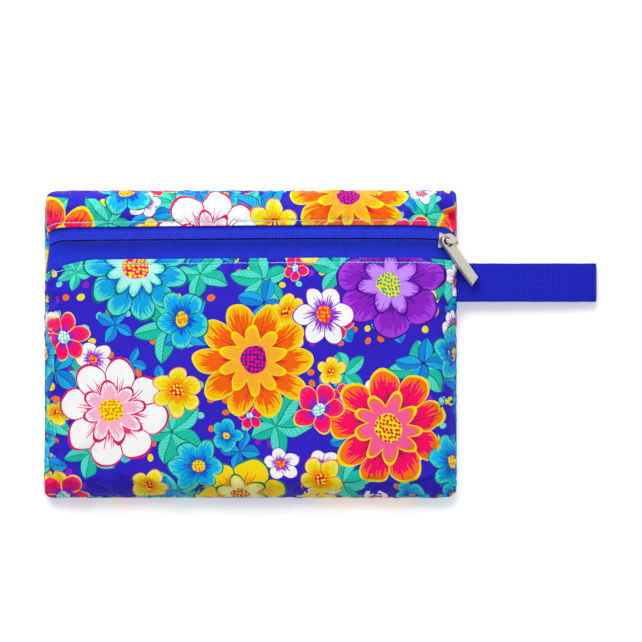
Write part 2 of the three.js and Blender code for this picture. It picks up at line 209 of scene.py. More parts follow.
# the two tapes: width that shows, width tucked under, slope and length of the fall, ends of the cover
zipSides = {1: dict(name="zipTapeUpper", node="zip_tape_upper", show=8.9, tuck=3.6, fall=(0.3, 4.8),
                    covered=(-0.3, 1.5)),
            -1: dict(name="zipTapeLower", node="zip_tape_lower", show=12.6, tuck=7.0, fall=(0.43, 7.8),
                     covered=(-1.5, 1.0))}
# where the webbing is sewn in, and the mouth that it opens in the side seam
strapSew = dict(width=24.2, y=38.7, mouth=3.7, mouthEdge=(0.2, 2.4), mouthFrom=(117.0, 126.1))
# soft grooves of the front: from x, y, to x, y, width, depth
folds = [(116, 90, 127, 77, 3.4, 2.8), (-125, 80, -108, 84, 3, 1.2), (-120, -86, -100, -68, 6, 1.3),
         (121, -86, 102, -70, 6, 1.3), (40, -4, 72, -22, 24, 1.4), (-78, 22, -52, 6, 22, 1)]
# two corners are drawn in and rounder than the others: side, end, reach, moves along x and y
drawnIn = [(-1, 1, 9.0, 1.5, -0.9), (1, -1, 6.5, -0.85, 0.85)]


def foldDepth(x, y):
    total = np.zeros_like(x)
    for x0, y0, x1, y1, width, depth in folds:
        dx, dy = x1 - x0, y1 - y0
        along = np.clip(((x - x0) * dx + (y - y0) * dy) / (dx * dx + dy * dy), 0, 1)
        total += depth * near(np.hypot(x - x0 - along * dx, y - y0 - along * dy), width)
    return total


def zipLine(x):
    line = zipRun["line"]
    for side, start, reach, most, drop, power in zipBends:
        line = line - drop * np.clip((side * x - start) / reach, 0, most) ** power
    return line


def zipDraw(y):
    return near(y - zipRun["line"] + zipRun["drawBelow"], zipRun["drawReach"])


def seamLine(x, y):
    return pouch["seam"] + zipRun["lift"] * zipDraw(y) * smooth(-x, zipRun["liftFrom"], pouch["halfWide"])


def frontRim(x, y):
    half = strapSew["width"] / 2
    opened = 1 - smooth(np.abs(y - strapSew["y"]) - half, *strapSew["mouthEdge"])
    mouth = strapSew["mouth"] * opened * smooth(x, *strapSew["mouthFrom"])
    return seamLine(x, y) + pouch["seamGap"] + mouth


def drawnCorner(x, y):
    movedX, movedY = x, y
    for side, end, reach, stepX, stepY in drawnIn:
        share = near(np.hypot(x - side * pouch["halfWide"], y - end * pouch["halfHigh"]), reach)
        movedX = movedX + stepX * share
        movedY = movedY + stepY * share
    return movedX, movedY


# columns from side to side: which shoulder they are on, how far up it, and their place on the crown
def columnsOf(edgeSteps, crownSteps):
    up = np.linspace(0, 1, edgeSteps, endpoint=False)
    edge, crown = np.ones(edgeSteps), np.ones(crownSteps)
    side = np.concatenate([-edge, 0 * crown, edge])
    place = np.concatenate([-edge, np.linspace(-1, 1, crownSteps), edge])
    return side, np.concatenate([up, crown, up[::-1]]), place


# a point of the front, this deep under its outer face
def frontPoint(columns, y, depth):
    side, q, t = columns
    wide, high = pouch["halfWide"] - pouch["tuck"], pouch["halfHigh"] - pouch["tuck"]
    left = depth - wide + zipRun["draw"] * zipDraw(y)
    right = wide - depth
    bend = pouch["shoulder"] - depth
    run, rise = 1 - np.cos(q * np.pi / 2), np.sin(q * np.pi / 2)
    # beside the zip the right shoulder is held to a wall and a slope
    held = 1 - smooth(np.abs(y - zipRun["line"] + zipEnd["below"]), *zipEnd["reach"])
    split = zipEnd["split"]
    wall, ramp = np.clip(q / split, 0, 1), np.clip((q - split) / (1 - split), 0, 1)
    heel = zipEnd["heel"] * near(q - split, zipEnd["heelReach"])
    runHeld = mix(run, mix(ramp, wall, zipEnd["wallRun"]) + heel, held)
    riseHeld = mix(rise, mix(ramp, wall, zipEnd["wallRise"]) - heel, held)
    middle = mix(left + bend, right - bend, (t + 1) / 2)
    x = np.where(side < 0, left + bend * run, np.where(side > 0, right - bend * runHeld, middle))
    up = np.where(side < 0, rise, np.where(side > 0, riseHeld, 1.0))
    inward = np.clip((high - depth - np.abs(y)) / bend, 0, 1)
    ends = np.sqrt(1 - (1 - inward) ** 2)
    rim = frontRim(x, y)
    swell = pouch["swell"] * (1 - (x / pouch["halfWide"]) ** 2) * (1 - (y / pouch["halfHigh"]) ** 2)
    z = rim + (pouch["crown"] + swell - foldDepth(x, y) - depth - rim) * up * ends
    # rounded corners in plan
    dx, dy = np.abs(x) - wide + pouch["corner"], np.abs(y) - high + pouch["corner"]
    cut = np.where((dx > 0) & (dy > 0), 1 - np.maximum(dx, dy) / np.maximum(np.hypot(dx, dy), 1e-9), 0)
    x, y = drawnCorner(x - np.sign(x) * dx * cut, y - np.sign(y) * dy * cut)
    return np.stack([x, y, z], -1)


# places along the zip of a set of columns
def placesAlong(columns):
    return frontPoint(columns, np.full(columns[0].shape, zipRun["line"]), 0.0)[:, 0]


# print coordinates: lengths along the cloth from the middle of the grid, in millimetres
def clothLengths(grid, offset):
    rows, cols = grid.shape[:2]
    midRow, midCol = [rows // 2], [cols // 2]
    stepX = np.linalg.norm(np.diff(grid, axis=1), axis=2)
    stepY = np.linalg.norm(np.diff(grid, axis=0), axis=2)
    u = np.concatenate([np.zeros((rows, 1)), np.cumsum(stepX, 1)], 1)
    v = np.concatenate([np.zeros((1, cols)), np.cumsum(stepY, 0)], 0)
    u = u - u[:, midCol] + grid[:, midCol, 0]
    v = v - v[midRow] + grid[midRow, :, 1]
    return np.stack([u + offset[0], v + offset[1]], -1)


# waves of mixed lengths added up, the same each run: gathers along a seam, and lumps of a whole sheet
mixedWaves = dict(gathers=6, gatherLengths=(0.7, 1.7), gatherHeights=(0.4, 1.0), gatherSum=2.4,
                  lumps=7, lumpLengths=(0.7, 1.6), lumpSum=3.2, phases=(0, 6.28))


def gathers(x, wave, seed):
    roll = np.random.default_rng(seed)
    total = np.zeros_like(x)
    for _ in range(mixedWaves["gathers"]):
        length = wave * roll.uniform(*mixedWaves["gatherLengths"])
        phase = roll.uniform(*mixedWaves["phases"])
        total += np.sin(fullTurn * x / length + phase) * roll.uniform(*mixedWaves["gatherHeights"])
    return total / mixedWaves["gatherSum"]


def lumps(x, y, wave, seed):
    roll = np.random.default_rng(seed)
    total = np.zeros_like(x)
    for _ in range(mixedWaves["lumps"]):
        angle = roll.uniform(0, np.pi)
        length = wave * roll.uniform(*mixedWaves["lumpLengths"])
        along = x * np.cos(angle) + y * np.sin(angle)
        total += np.sin(fullTurn * along / length + roll.uniform(*mixedWaves["phases"]))
    return total / mixedWaves["lumpSum"]


# print of the nylon: a charted repeat of made-up blossoms over scattered leaves, in millimetres of cloth

printRepeat = dict(tile=(270.0, 180.0), waver=6.6, waverWave=24.0, ground="#3120C8")
# blossoms: x, y, radius, petals, turn in degrees, colouring
largeBlooms = dict(notch=0.3, innerRow=0.6, eye=0.22, rows=[
    (-86, -42, 35, 8, 10, 2), (2, -10, 37, 10, 0, 3), (86, -52, 38, 9, 25, 0), (88, 38, 35, 7, 40, 1),
    (-72, 48, 34, 11, 15, 4), (-6, 82, 29, 6, 50, 5)],
    colours=dict(
        outline=["#F6E60C", "#4A0C92", "#E8106C", "#F6E60C", "#0A6E78", "#0A7A70"],
        rim=["#FF7A00", "#A83CE6", "#FFFFFF", "#FFC400", "#50E4D0", "#F6E60C"],
        body=["#FF0060", "#8E1FC8", "#FFFFFF", "#FA6400", "#00A8E6", "#FFD800"],
        throat=["#B4005E", "#5A10A0", "#FF2E80", "#E0102A", "#1450D2", "#FA7800"],
        inner=["#FF5AA0", "#C890FF", "#FFB4D4", "#FFB02E", "#B4F6EC", "#FFF7A0"],
        centre=["#F6E60C", "#F6E60C", "#F6E60C", "#5A10A0", "#FF0060", "#E0102A"],
        dot=["#E0102A", "#00A890", "#FA7800", "#FF0060", "#F6E60C", "#F6E60C"]))
mediumBlooms = dict(notch=0.42, innerRow=0, eye=0.25, rows=[
    (-43, 16, 18, 5, 20, 0), (46, 18, 19, 6, 0, 1), (-46, -30, 16, 6, 35, 2), (42, -40, 17, 5, 5, 3),
    (132, -6, 19, 5, 50, 0), (128, -74, 17, 6, 15, 0), (40, 68, 18, 5, 30, 2), (-116, 4, 16, 6, 45, 3),
    (-118, 82, 18, 5, 10, 3), (-34, -76, 18, 6, 0, 0), (44, -84, 15, 5, 25, 2)],
    colours=dict(
        outline=["#0A7A70", "#8E1FC8", "#FA7800", "#F6E60C"],
        rim=["#50E4D0", "#FFFFFF", "#FFF27A", "#FF2E80"],
        body=["#00B4F0", "#FFFFFF", "#F6E60C", "#FF0060"],
        throat=["#1450D2", "#9A2AD8", "#FF9A00", "#8E1FC8"],
        centre=["#F6E60C", "#FF3A20", "#E0102A", "#70E4D5"],
        dot=["#FA7800", "#FFB000", "#F6E60C", "#FFFFFF"]))
# scattered layers: cell and greatest radius, shift of the scatter
leafLayers = [dict(cell=50.0, radius=40.0, shift=(13.0, 71.0), leaves=5, slim=0.58,
                   body="#52E6D2", shade="#18C8AE", vein="#0A7A50"),
              dict(cell=46.0, radius=34.0, shift=(151.0, 37.0), leaves=4, slim=0.56,
                   body="#12B4F0", shade="#0C8CE6", vein="#1C1A96")]
smallBlooms = dict(cell=29.0, radius=11.5, shift=(77.0, 19.0), petals=5, share=0.7, notch=0.4, innerRow=0,
                   eye=0.26, colours=mediumBlooms["colours"])
berries = dict(cell=9.0, radius=0.24, share=0.45, colours=["#F6E60C", "#FA7800", "#8E1FC8", "#70E4D5"])
# how unevenly each scatter lies
loose = dict(motifs=0.7, berries=0.6, grains=0.5)
# brush strokes, in shares of a blossom's radius, and its grains of pollen in millimetres
brushwork = dict(tip=0.62, strokes=4.2, throat=(0.75, 0.12), rim=(-0.5, 1.08), parting=0.05, edge=0.95,
                 innerLobe=(0.42, 0.58), pale=(-0.7, 1.15), innerEdge=0.91, grain=2.3, grainRound=0.36)
# lines of a leaf, in shares of its length
leafLines = dict(edge=0.022, rib=0.013, slant=-0.8, comb=52.0, vein=0.965)


def pickColour(add, choice, colours):
    ramp = add("ValToRGB", choice)
    ramp.color_ramp.interpolation = "CONSTANT"
    stops = ramp.color_ramp.elements
    while len(stops) < len(colours):
        stops.new(0.5)
    for i, colour in enumerate(colours):
        stops[i].position = i / len(colours)
        stops[i].color = srgb(colour)
    return ramp


# nearest charted blossom: place with its radius as 1, half its petals, turn and colouring
def chartedBlooms(add, cloth, chart):
    wide, high = printRepeat["tile"]
    kinds = len(chart["colours"]["body"])
    own, facts, nearest = None, None, None
    for x, y, radius, petals, turn, kind in chart["rows"]:
        top, bottom = (x + wide / 2, y + high / 2, 1), (x - wide / 2, y - high / 2, -1)
        around = add("VectorMath WRAP", cloth, top, bottom)
        scale, shift = (1 / radius, 1 / radius, 0), (-x / radius, -y / radius, 0)
        place = add("VectorMath MULTIPLY_ADD", around, scale, shift)
        far = add("VectorMath LENGTH", place).outputs["Value"]
        row = [petals / 2, math.radians(turn), (kind + 0.5) / kinds, 1]
        if own is None:
            own, facts, nearest = place, row, far
            continue
        nearer = add("Math LESS_THAN", far, nearest)
        own = add("MixRGB", nearer, own, place)
        facts = add("MixRGB", nearer, facts, row)
        nearest = add("Math MINIMUM", far, nearest)
    return own, *add("SeparateColor", facts).outputs[:3]


# one motif in each cell of a scatter, never larger than its cell has room for
def scattered(add, cloth, layer):
    moved = add("VectorMath ADD", cloth, (*layer["shift"], 0))
    sockets = {"Vector": moved, "Scale": 1 / layer["cell"], "Randomness": loose["motifs"]}
    cells = add("TexVoronoi", sockets=sockets, voronoi_dimensions="2D")
    room = add("TexVoronoi", sockets=sockets, voronoi_dimensions="2D", feature="N_SPHERE_RADIUS")
    size = add("Math MULTIPLY", room.outputs["Radius"], layer["cell"])
    size = add("Math MINIMUM", size, layer["radius"])
    away = add("VectorMath SUBTRACT", moved, cells.outputs["Position"])
    own = add("VectorMath SCALE", away, sockets={"Scale": add("Math DIVIDE", 1.0, size)})
    return own, *add("SeparateColor", cells.outputs["Color"]).outputs[:3]


# distance and direction of a place from the middle of its motif
def polar(add, own):
    place = add("SeparateXYZ", own)
    far = add("VectorMath LENGTH", own).outputs["Value"]
    return far, add("Math ARCTAN2", place.outputs[1], place.outputs[0])


# colour and cover of a blossom: notched petals with brushed zones, an inner row and a dotted eye
def bloomLooks(add, cloth, own, halfPetals, turn, kind, chart):
    colours, notch, innerRow = chart["colours"], chart["notch"], chart["innerRow"]
    far, angle = polar(add, own)
    spin = add("Math MULTIPLY", add("Math ADD", angle, turn), halfPetals)
    lobe = add("Math ABSOLUTE", add("Math COSINE", spin))
    reach = add("Math MULTIPLY_ADD", add("Math POWER", lobe, brushwork["tip"]), notch, 1 - notch)
    share = add("Math DIVIDE", far, reach)
    cover = add("Math LESS_THAN", share, 1.0)
    along = add("Math MULTIPLY", spin, brushwork["strokes"])
    brush = add("TexNoise", sockets={"W": along, "Scale": 1.0, "Detail": 1.0}, noise_dimensions="1D")
    throat = add("Math LESS_THAN", share, add("Math MULTIPLY_ADD", brush, *brushwork["throat"]))
    rim = add("Math GREATER_THAN", share, add("Math MULTIPLY_ADD", brush, *brushwork["rim"]))
    parting = add("Math LESS_THAN", add("Math MULTIPLY", lobe, far), brushwork["parting"])
    line = add("Math MAXIMUM", parting, add("Math GREATER_THAN", share, brushwork["edge"]))
    ink, rimPaint, paint = (pickColour(add, kind, colours[zone]) for zone in ("outline", "rim", "body"))
    paint = add("MixRGB", throat, paint, pickColour(add, kind, colours["throat"]))
    paint = add("MixRGB", rim, paint, rimPaint)
    paint = add("MixRGB", line, paint, ink)
    if innerRow:
        lobe = add("Math ABSOLUTE", add("Math SINE", spin))
        reach = add("Math MULTIPLY_ADD", lobe, *(innerRow * part for part in brushwork["innerLobe"]))
        share = add("Math DIVIDE", far, reach)
        pale = add("Math LESS_THAN", share, add("Math MULTIPLY_ADD", brush, *brushwork["pale"]))
        row = add("MixRGB", pale, rimPaint, pickColour(add, kind, colours["inner"]))
        row = add("MixRGB", add("Math GREATER_THAN", share, brushwork["innerEdge"]), row, ink)
        paint = add("MixRGB", add("Math LESS_THAN", share, 1.0), paint, row)
    sockets = {"Vector": cloth, "Scale": 1 / brushwork["grain"], "Randomness": loose["grains"]}
    grains = add("TexVoronoi", sockets=sockets, voronoi_dimensions="2D")
    grain = add("Math LESS_THAN", grains.outputs["Distance"], brushwork["grainRound"])
    eyePaint = pickColour(add, kind, colours["centre"])
    eyePaint = add("MixRGB", grain, eyePaint, pickColour(add, kind, colours["dot"]))
    return add("MixRGB", add("Math LESS_THAN", far, chart["eye"]), paint, eyePaint), cover


# leaves round the middle of each cell, with a midrib, side veins and a darker half
def leafLooks(add, own, turn, layer):
    far, angle = polar(add, own)
    angle = add("Math MULTIPLY_ADD", turn, fullTurn, angle)
    sector = fullTurn / layer["leaves"]
    angle = add("Math WRAP", angle, sector / 2, -sector / 2)
    x = add("Math MULTIPLY", far, add("Math COSINE", angle))
    y = add("Math MULTIPLY", far, add("Math SINE", angle))
    offRib = add("Math ABSOLUTE", y)
    bow = add("Math MULTIPLY", add("Math SUBTRACT", x, 1.0), x)
    half = add("Math MULTIPLY", bow, -2 * layer["slim"])
    cover = add("Math LESS_THAN", offRib, half)
    edge = add("Math LESS_THAN", add("Math SUBTRACT", half, offRib), leafLines["edge"])
    rib = add("Math LESS_THAN", offRib, leafLines["rib"])
    slant = add("Math MULTIPLY_ADD", offRib, leafLines["slant"], x)
    comb = add("Math SINE", add("Math MULTIPLY", slant, leafLines["comb"]))
    vein = add("Math GREATER_THAN", comb, leafLines["vein"])
    lines = add("Math MAXIMUM", add("Math MAXIMUM", edge, rib), vein)
    paint = add("MixRGB", add("Math GREATER_THAN", y, 0.0), srgb(layer["body"]), srgb(layer["shade"]))
    return add("MixRGB", lines, paint, srgb(layer["vein"])), cover


def printPaint(add, cloth):
    # a drawn line wavers a little
    sockets = {"Vector": cloth, "Scale": 1 / printRepeat["waverWave"], "Detail": 1.0}
    waver = add("TexNoise", sockets=sockets, noise_dimensions="2D")
    shift = add("VectorMath SUBTRACT", waver.outputs["Color"], (0.5, 0.5, 0.5))
    cloth = add("VectorMath MULTIPLY_ADD", shift, (printRepeat["waver"],) * 3, cloth)
    sockets = {"Vector": cloth, "Scale": 1 / berries["cell"], "Randomness": loose["berries"]}
    dots = add("TexVoronoi", sockets=sockets, voronoi_dimensions="2D")
    kind, chance = add("SeparateColor", dots.outputs["Color"]).outputs[:2]
    dot = add("Math LESS_THAN", dots.outputs["Distance"], berries["radius"])
    dot = add("Math MULTIPLY", dot, add("Math LESS_THAN", chance, berries["share"]))
    paint = add("MixRGB", dot, srgb(printRepeat["ground"]), pickColour(add, kind, berries["colours"]))
    for layer in leafLayers:
        own, _, turn, _ = scattered(add, cloth, layer)
        leaf, cover = leafLooks(add, own, turn, layer)
        paint = add("MixRGB", cover, paint, leaf)
    own, kind, turn, chance = scattered(add, cloth, smallBlooms)
    turn = add("Math MULTIPLY", turn, fullTurn)
    bloom, cover = bloomLooks(add, cloth, own, smallBlooms["petals"] / 2, turn, kind, smallBlooms)
    cover = add("Math MULTIPLY", cover, add("Math LESS_THAN", chance, smallBlooms["share"]))
    paint = add("MixRGB", cover, paint, bloom)
    for chart in (largeBlooms, mediumBlooms):
        bloom, cover = bloomLooks(add, cloth, *chartedBlooms(add, cloth, chart), chart)
        paint = add("MixRGB", cover, paint, bloom)
    return paint


# materials: rough is the least and its spread, relief its depth in millimetres and strength

# sine across the cloth map: one thread to each pitch, in millimetres
def threads(add, coordinate, pitch):
    return add("Math SINE", add("Math MULTIPLY", coordinate, fullTurn / pitch))


# nylon taffeta, plain woven and roller printed: flat clear colour with a faint satin from the close threads
# the threads lie 0.2 mm apart, drawn at 0.7 mm so that they show
nylon = dict(pitch=0.7, mottle=14.0, ink=(0.09, 0.745), shade=0.035, rough=(0.42, 0.2), relief=(0.04, 0.35),
             even={"IOR": 1.53, "Specular IOR Level": 0.08, "Sheen Weight": 0.01, "Sheen Roughness": 0.4})


def makeNylon():
    material, add = newMaterial("printedNylonTaffeta")
    cloth = add("UVMap", uv_map="clothMap")
    paint = printPaint(add, cloth)
    warp, weft = add("SeparateXYZ", cloth).outputs[:2]
    weave = add("Math MULTIPLY", threads(add, warp, nylon["pitch"]), threads(add, weft, nylon["pitch"]))
    sockets = {"Vector": cloth, "Scale": 1 / nylon["mottle"], "Detail": 3.0}
    mottle = add("TexNoise", sockets=sockets, noise_dimensions="2D")
    # ink takes a little unevenly, and each thread shades its neighbour
    ink = add("Math MULTIPLY_ADD", mottle, *nylon["ink"])
    ink = add("Math MULTIPLY_ADD", weave, nylon["shade"], ink)
    paint = add("VectorMath SCALE", paint, sockets={"Scale": ink})
    print("nylon print", len(material.node_tree.nodes), "nodes")
    return finishShader(material, paint, mottle, weave, nylon)


# polyester zip tape, twill woven: matt blue with fine slanting ribs, painted darker in their hollows as shade
# its ribs lie 0.4 mm apart, drawn at 0.75 mm so that they show
tapeWeave = dict(pitch=0.75, slant=1.6, mottle=6.25, deep="#1523A2", raised="#2839DF", tone=(0.3, 0.22),
                 uneven=0.5, rough=(0.62, 0.2), relief=(0.06, 0.4),
                 even={"IOR": 1.57, "Specular IOR Level": 0.1, "Sheen Weight": 0.02})


def makeTape():
    material, add = newMaterial("twillWovenPolyesterTape")
    cloth = add("UVMap", uv_map="clothMap")
    along, across = add("SeparateXYZ", cloth).outputs[:2]
    slant = add("Math MULTIPLY_ADD", across, tapeWeave["slant"], along)
    pitch = tapeWeave["pitch"]
    weave = add("Math MULTIPLY", threads(add, slant, pitch), threads(add, across, pitch))
    sockets = {"Vector": cloth, "Scale": 1 / tapeWeave["mottle"], "Detail": 3.0}
    mottle = add("TexNoise", sockets=sockets, noise_dimensions="2D")
    tone = add("Math MULTIPLY_ADD", weave, *tapeWeave["tone"])
    tone = add("Math MULTIPLY_ADD", mottle, tapeWeave["uneven"], tone)
    # painted shade: the deep parts of the ribs take the darker blue; the mottle adds tone that differs at
    # random
    paint = add("MixRGB", tone, srgb(tapeWeave["deep"]), srgb(tapeWeave["raised"]))
    return finishShader(material, paint, mottle, weave, tapeWeave)


# polypropylene webbing, heavy plain weave: bright slick yarn, with painted shade in the gaps between the
# floats
webWeave = dict(rib=1.4, row=1.9, step=0.3, filament=0.3, fuzzPerMm=0.9, gap="#03043A", yarn="#1D26D3",
                laneRound=0.4, laneDepth=0.4, ribRound=0.8, tone=(1.05, -0.05), uneven=0.3,
                rough=(0.42, 0.25), relief=(0.03, 0.3),
                even={"IOR": 1.49, "Specular IOR Level": 0.1, "Sheen Weight": 0.02})


def makeWebbing():
    material, add = newMaterial("wovenPolypropyleneWebbing")
    cloth = add("UVMap", uv_map="clothMap")
    along, across = add("SeparateXYZ", cloth).outputs[:2]
    row = add("Math FLOOR", add("Math DIVIDE", across, webWeave["row"]))
    # every second row is set a little on
    shift = add("Math MULTIPLY", add("Math PINGPONG", row, 1.0), fullTurn * webWeave["step"])
    phase = add("Math MULTIPLY_ADD", along, fullTurn / webWeave["rib"], shift)
    ribs = add("Math MULTIPLY_ADD", add("Math COSINE", phase), 0.5, 0.5)
    lane = add("Math ABSOLUTE", threads(add, across, 2 * webWeave["row"]))
    lane = add("Math POWER", lane, webWeave["laneRound"])
    lane = add("Math MULTIPLY_ADD", lane, webWeave["laneDepth"], 1 - webWeave["laneDepth"])
    floats = add("Math MULTIPLY", add("Math POWER", ribs, webWeave["ribRound"]), lane)
    sockets = {"Vector": cloth, "Scale": webWeave["fuzzPerMm"], "Detail": 4.0}
    fuzz = add("TexNoise", sockets=sockets, noise_dimensions="2D")
    tone = add("Math MULTIPLY_ADD", floats, *webWeave["tone"])
    tone = add("Math MULTIPLY_ADD", fuzz, webWeave["uneven"], tone)
    # painted shade: where the floats part the weave is drawn near black; the fuzz adds tone that differs at
    # random
    paint = add("MixRGB", tone, srgb(webWeave["gap"]), srgb(webWeave["yarn"]))
    return finishShader(material, paint, fuzz, threads(add, across, webWeave["filament"]), webWeave)


# two tones in patches, roughness that follows them and a fine grain, for what carries no cloth map
def makeSolid(name, look):
    material, add = newMaterial(name)
    place = add("TexCoord").outputs["Object"]
    sockets = {"Vector": place, "Scale": 1000 / look["patch"], "Detail": look["detail"]}
    tones = add("TexNoise", sockets=sockets)
    grain = tones
    if "grit" in look:
        grain = add("TexNoise", sockets={"Vector": place, "Scale": 1000 / look["grit"], "Detail": 1.0})
    paint = add("MixRGB", tones, srgb(look["dull"]), srgb(look["bright"]))
    return finishShader(material, paint, tones, grain, look)


# spun polyester thread, two ply: soft line, lighter where a ply stands up
topYarn = dict(bright="#9CF0F4", dull="#62D4E4", patch=0.5, detail=2.0, rough=(0.5, 0.25), relief=(0.05, 0.5),
               even={"IOR": 1.57, "Specular IOR Level": 0.2})
# the zip's chain stitches: thread drawn near black, its own dark colour together with painted shade of the
# needle holes it sinks into
coilYarnAndHoleShade = dict(topYarn, bright="#060A3A", dull="#02031A")
# zinc die casting, tumbled and nickel plated: warm grey metal, soft gloss, rubbed brighter in patches
castNickel = dict(bright="#E4E0D4", dull="#C4BFB2", patch=2.2, detail=4.0, grit=0.12, rough=(0.2, 0.22),
                  relief=(0.01, 0.25), even={"Metallic": 1.0})
# painted shade: the eye of the pull lies in shadow, so the plating there is drawn dark and dull
eyeShadeNickel = dict(castNickel, bright="#3A362E", dull="#12100C", rough=(0.5, 0.25))
# drawn polyester monofilament, wound to a coil: dark, smooth and half shiny
filament = dict(bright="#12184A", dull="#070A26", patch=1.5, detail=2.0, rough=(0.3, 0.2), relief=(0.02, 0.2),
                even={"IOR": 1.57})
# painted board, rolled white: flat and even with a faint tooth, and a little glow to keep shadows pale
whiteBoard = dict(bright="#FDFDFD", dull="#FAFAFA", patch=2.0, detail=2.0, rough=(0.75, 0.1),
                  relief=(0.02, 0.1),
                  even={"Specular IOR Level": 0.1, "Emission Color": srgb("#FFFFFF"),
                        "Emission Strength": 0.25})

printedNylon = makeNylon()
zipTape = makeTape()
webbing = makeWebbing()
topThread = makeSolid("spunPolyesterThread", topYarn)
coilThreadAndHoleShade = makeSolid("zipThreadAndHoleShade", coilYarnAndHoleShade)
nickel = makeSolid("tumbledNickelPlatedZinc", castNickel)
eyeShadeMaterial = makeSolid("nickelWithPaintedEyeShade", eyeShadeNickel)
coilPlastic = makeSolid("drawnPolyesterMonofilament", filament)
print("materials made")


# printed cloth of the front, in two panels either side of the zip

panels = dict(edgeSteps=32, crownSteps=223, turnSteps=7, roll=0.5, stitchFrom=2.5, sewnPast=0.2, fan=5.4,
              fanFrom=96.0, tongue=5.1, tongueFrom=122.0, tongueReach=8.0, tonguePower=1.7)
# each panel: rows over the crown outside and inside, shift of the print, seed of the relief
panelCuts = [dict(name="frontCloth", node="front_panel", side=-1, rows=137, innerRows=20, offset=(0, 0),
                  seed=3),
             dict(name="topCloth", node="top_panel", side=1, rows=9, innerRows=4, offset=(-60, 75),
                  seed=23)]
# relief of loose cloth: height and wave of lumps, height, wave and fade of gathers at the zip and the seams,
# depth and width of the groove under the stitches, and how far the seams hold it flat
relief = dict(lumps=((0.3, 46), (0.12, 17)), zip=(0.35, 7.5, 4.5), seam=(0.45, 9, 6.0), groove=(0.4, 0.8),
              flat=2.5)
# spare cloth in the seams and the push of the stuffing, settled by simulation
settle = dict(spare=0.045, push=0.5, bend=0.4, mass=0.15, quality=4, frames=16, cap=2.0, inLength=0.01)
# the top panel is folded under at its right end: drop past the fold, hollow as x, y, reach and depth, cloth
# hidden in it, where it starts and fades, room over the seam, and the fold's line as height and place
pleat = dict(drop=1.8, hollow=(126.5, 78.5, 4.2, 3.2), hidden=14.0, soft=0.6, jump=0.15, start=(0.3, 4.5),
             fade=(83.0, 91.0), room=6.0,
             line=[(69.0, 126.6), (72.7, 125.4), (75.9, 125.8), (78.3, 125.1), (80.2, 123.4), (82.6, 120.8),
                   (86.7, 117.6), (92.0, 114.5)])
columns = columnsOf(panels["edgeSteps"], panels["crownSteps"])
lineX = placesAlong(columns)
crownEdge = pouch["halfHigh"] - pouch["tuck"] - pouch["shoulder"]
edgeRun = 1 - np.cos(np.linspace(0, 1, panels["edgeSteps"], endpoint=False) * np.pi / 2)


# the folded edges beside the zip; over the slider the upper one runs down to the side seam
def foldEdge(x, side):
    edge = zipLine(x) + side * zipSides[side]["show"]
    if side < 0:
        return edge - panels["fan"] * smooth(-x, panels["fanFrom"], pouch["halfWide"])
    tongue = np.clip((x - panels["tongueFrom"]) / panels["tongueReach"], 0, 1)
    return edge - panels["tongue"] * tongue ** panels["tonguePower"]


edges = {side: foldEdge(lineX, side) for side in zipSides}


# heights of a panel's rows at each column: over its shoulder, and over the crown to the zip
def panelRows(side, depth, count):
    bend = pouch["shoulder"] - depth
    shoulder = side * (crownEdge + bend * (1 - edgeRun))[:, None] + 0 * lineX
    shares = np.linspace(0, 1, count, endpoint=side < 0)[:, None]
    if side < 0:
        return np.concatenate([shoulder, mix(-crownEdge, edges[side], shares)])
    return np.concatenate([mix(edges[side], crownEdge, shares), shoulder[::-1]])


def pleatShare(x, y, soft):
    heights, places = zip(*pleat["line"])
    past = x - np.interp(y, heights, places)
    return smooth(past, -soft, soft) * (1 - smooth(y, *pleat["fade"]))


def pleated(grid):
    x, y, z = np.moveaxis(grid, -1, 0)
    # it starts from nothing at the zip and never reaches below the seam
    share = pleatShare(x, y, pleat["soft"]) * smooth(y - foldEdge(x, 1), *pleat["start"])
    share = share * np.clip((z - frontRim(x, y)) / pleat["room"], 0, 1)
    hollowX, hollowY, reach, deep = pleat["hollow"]
    hollow = deep * near(np.hypot(x - hollowX, y - hollowY), reach)
    return np.stack([x, y, z - (pleat["drop"] + hollow) * share], -1)


# gathers die away from the seams and from the sewing beside the zip
def clothRelief(grid, toZip, seed):
    x, y = grid[..., 0], grid[..., 1]
    toSide, toEnd = pouch["halfWide"] - np.abs(x), pouch["halfHigh"] - np.abs(y)
    toStitch = np.abs(toZip - panels["stitchFrom"])
    height = sum(high * lumps(x, y, wave, seed + n) for n, (high, wave) in enumerate(relief["lumps"]))
    seams = ((relief["zip"], x, toStitch), (relief["seam"], y, toSide), (relief["seam"], x, toEnd))
    for n, ((high, wave, fade), along, away) in enumerate(seams):
        height = height + high * gathers(along, wave, seed + 2 + n) * np.exp(-away / fade)
    deep, width = relief["groove"]
    height = height - deep * near(toStitch, width)
    # loose cloth can't rise or sink right at a seam
    return height * np.minimum(1, np.minimum(toSide, toEnd) / relief["flat"])


# every second point to every point, by a cubic through four neighbours
def finer(coarse):
    for axis in (0, 1):
        c = np.moveaxis(coarse, axis, 0)
        padded = np.concatenate([c[:1], c, c[-1:]])
        fine = np.empty((2 * c.shape[0] - 1,) + c.shape[1:])
        fine[::2] = c
        fine[1::2] = (9 * (padded[1:-2] + padded[2:-1]) - padded[:-3] - padded[3:]) / 16
        coarse = np.moveaxis(fine, 0, axis)
    return coarse


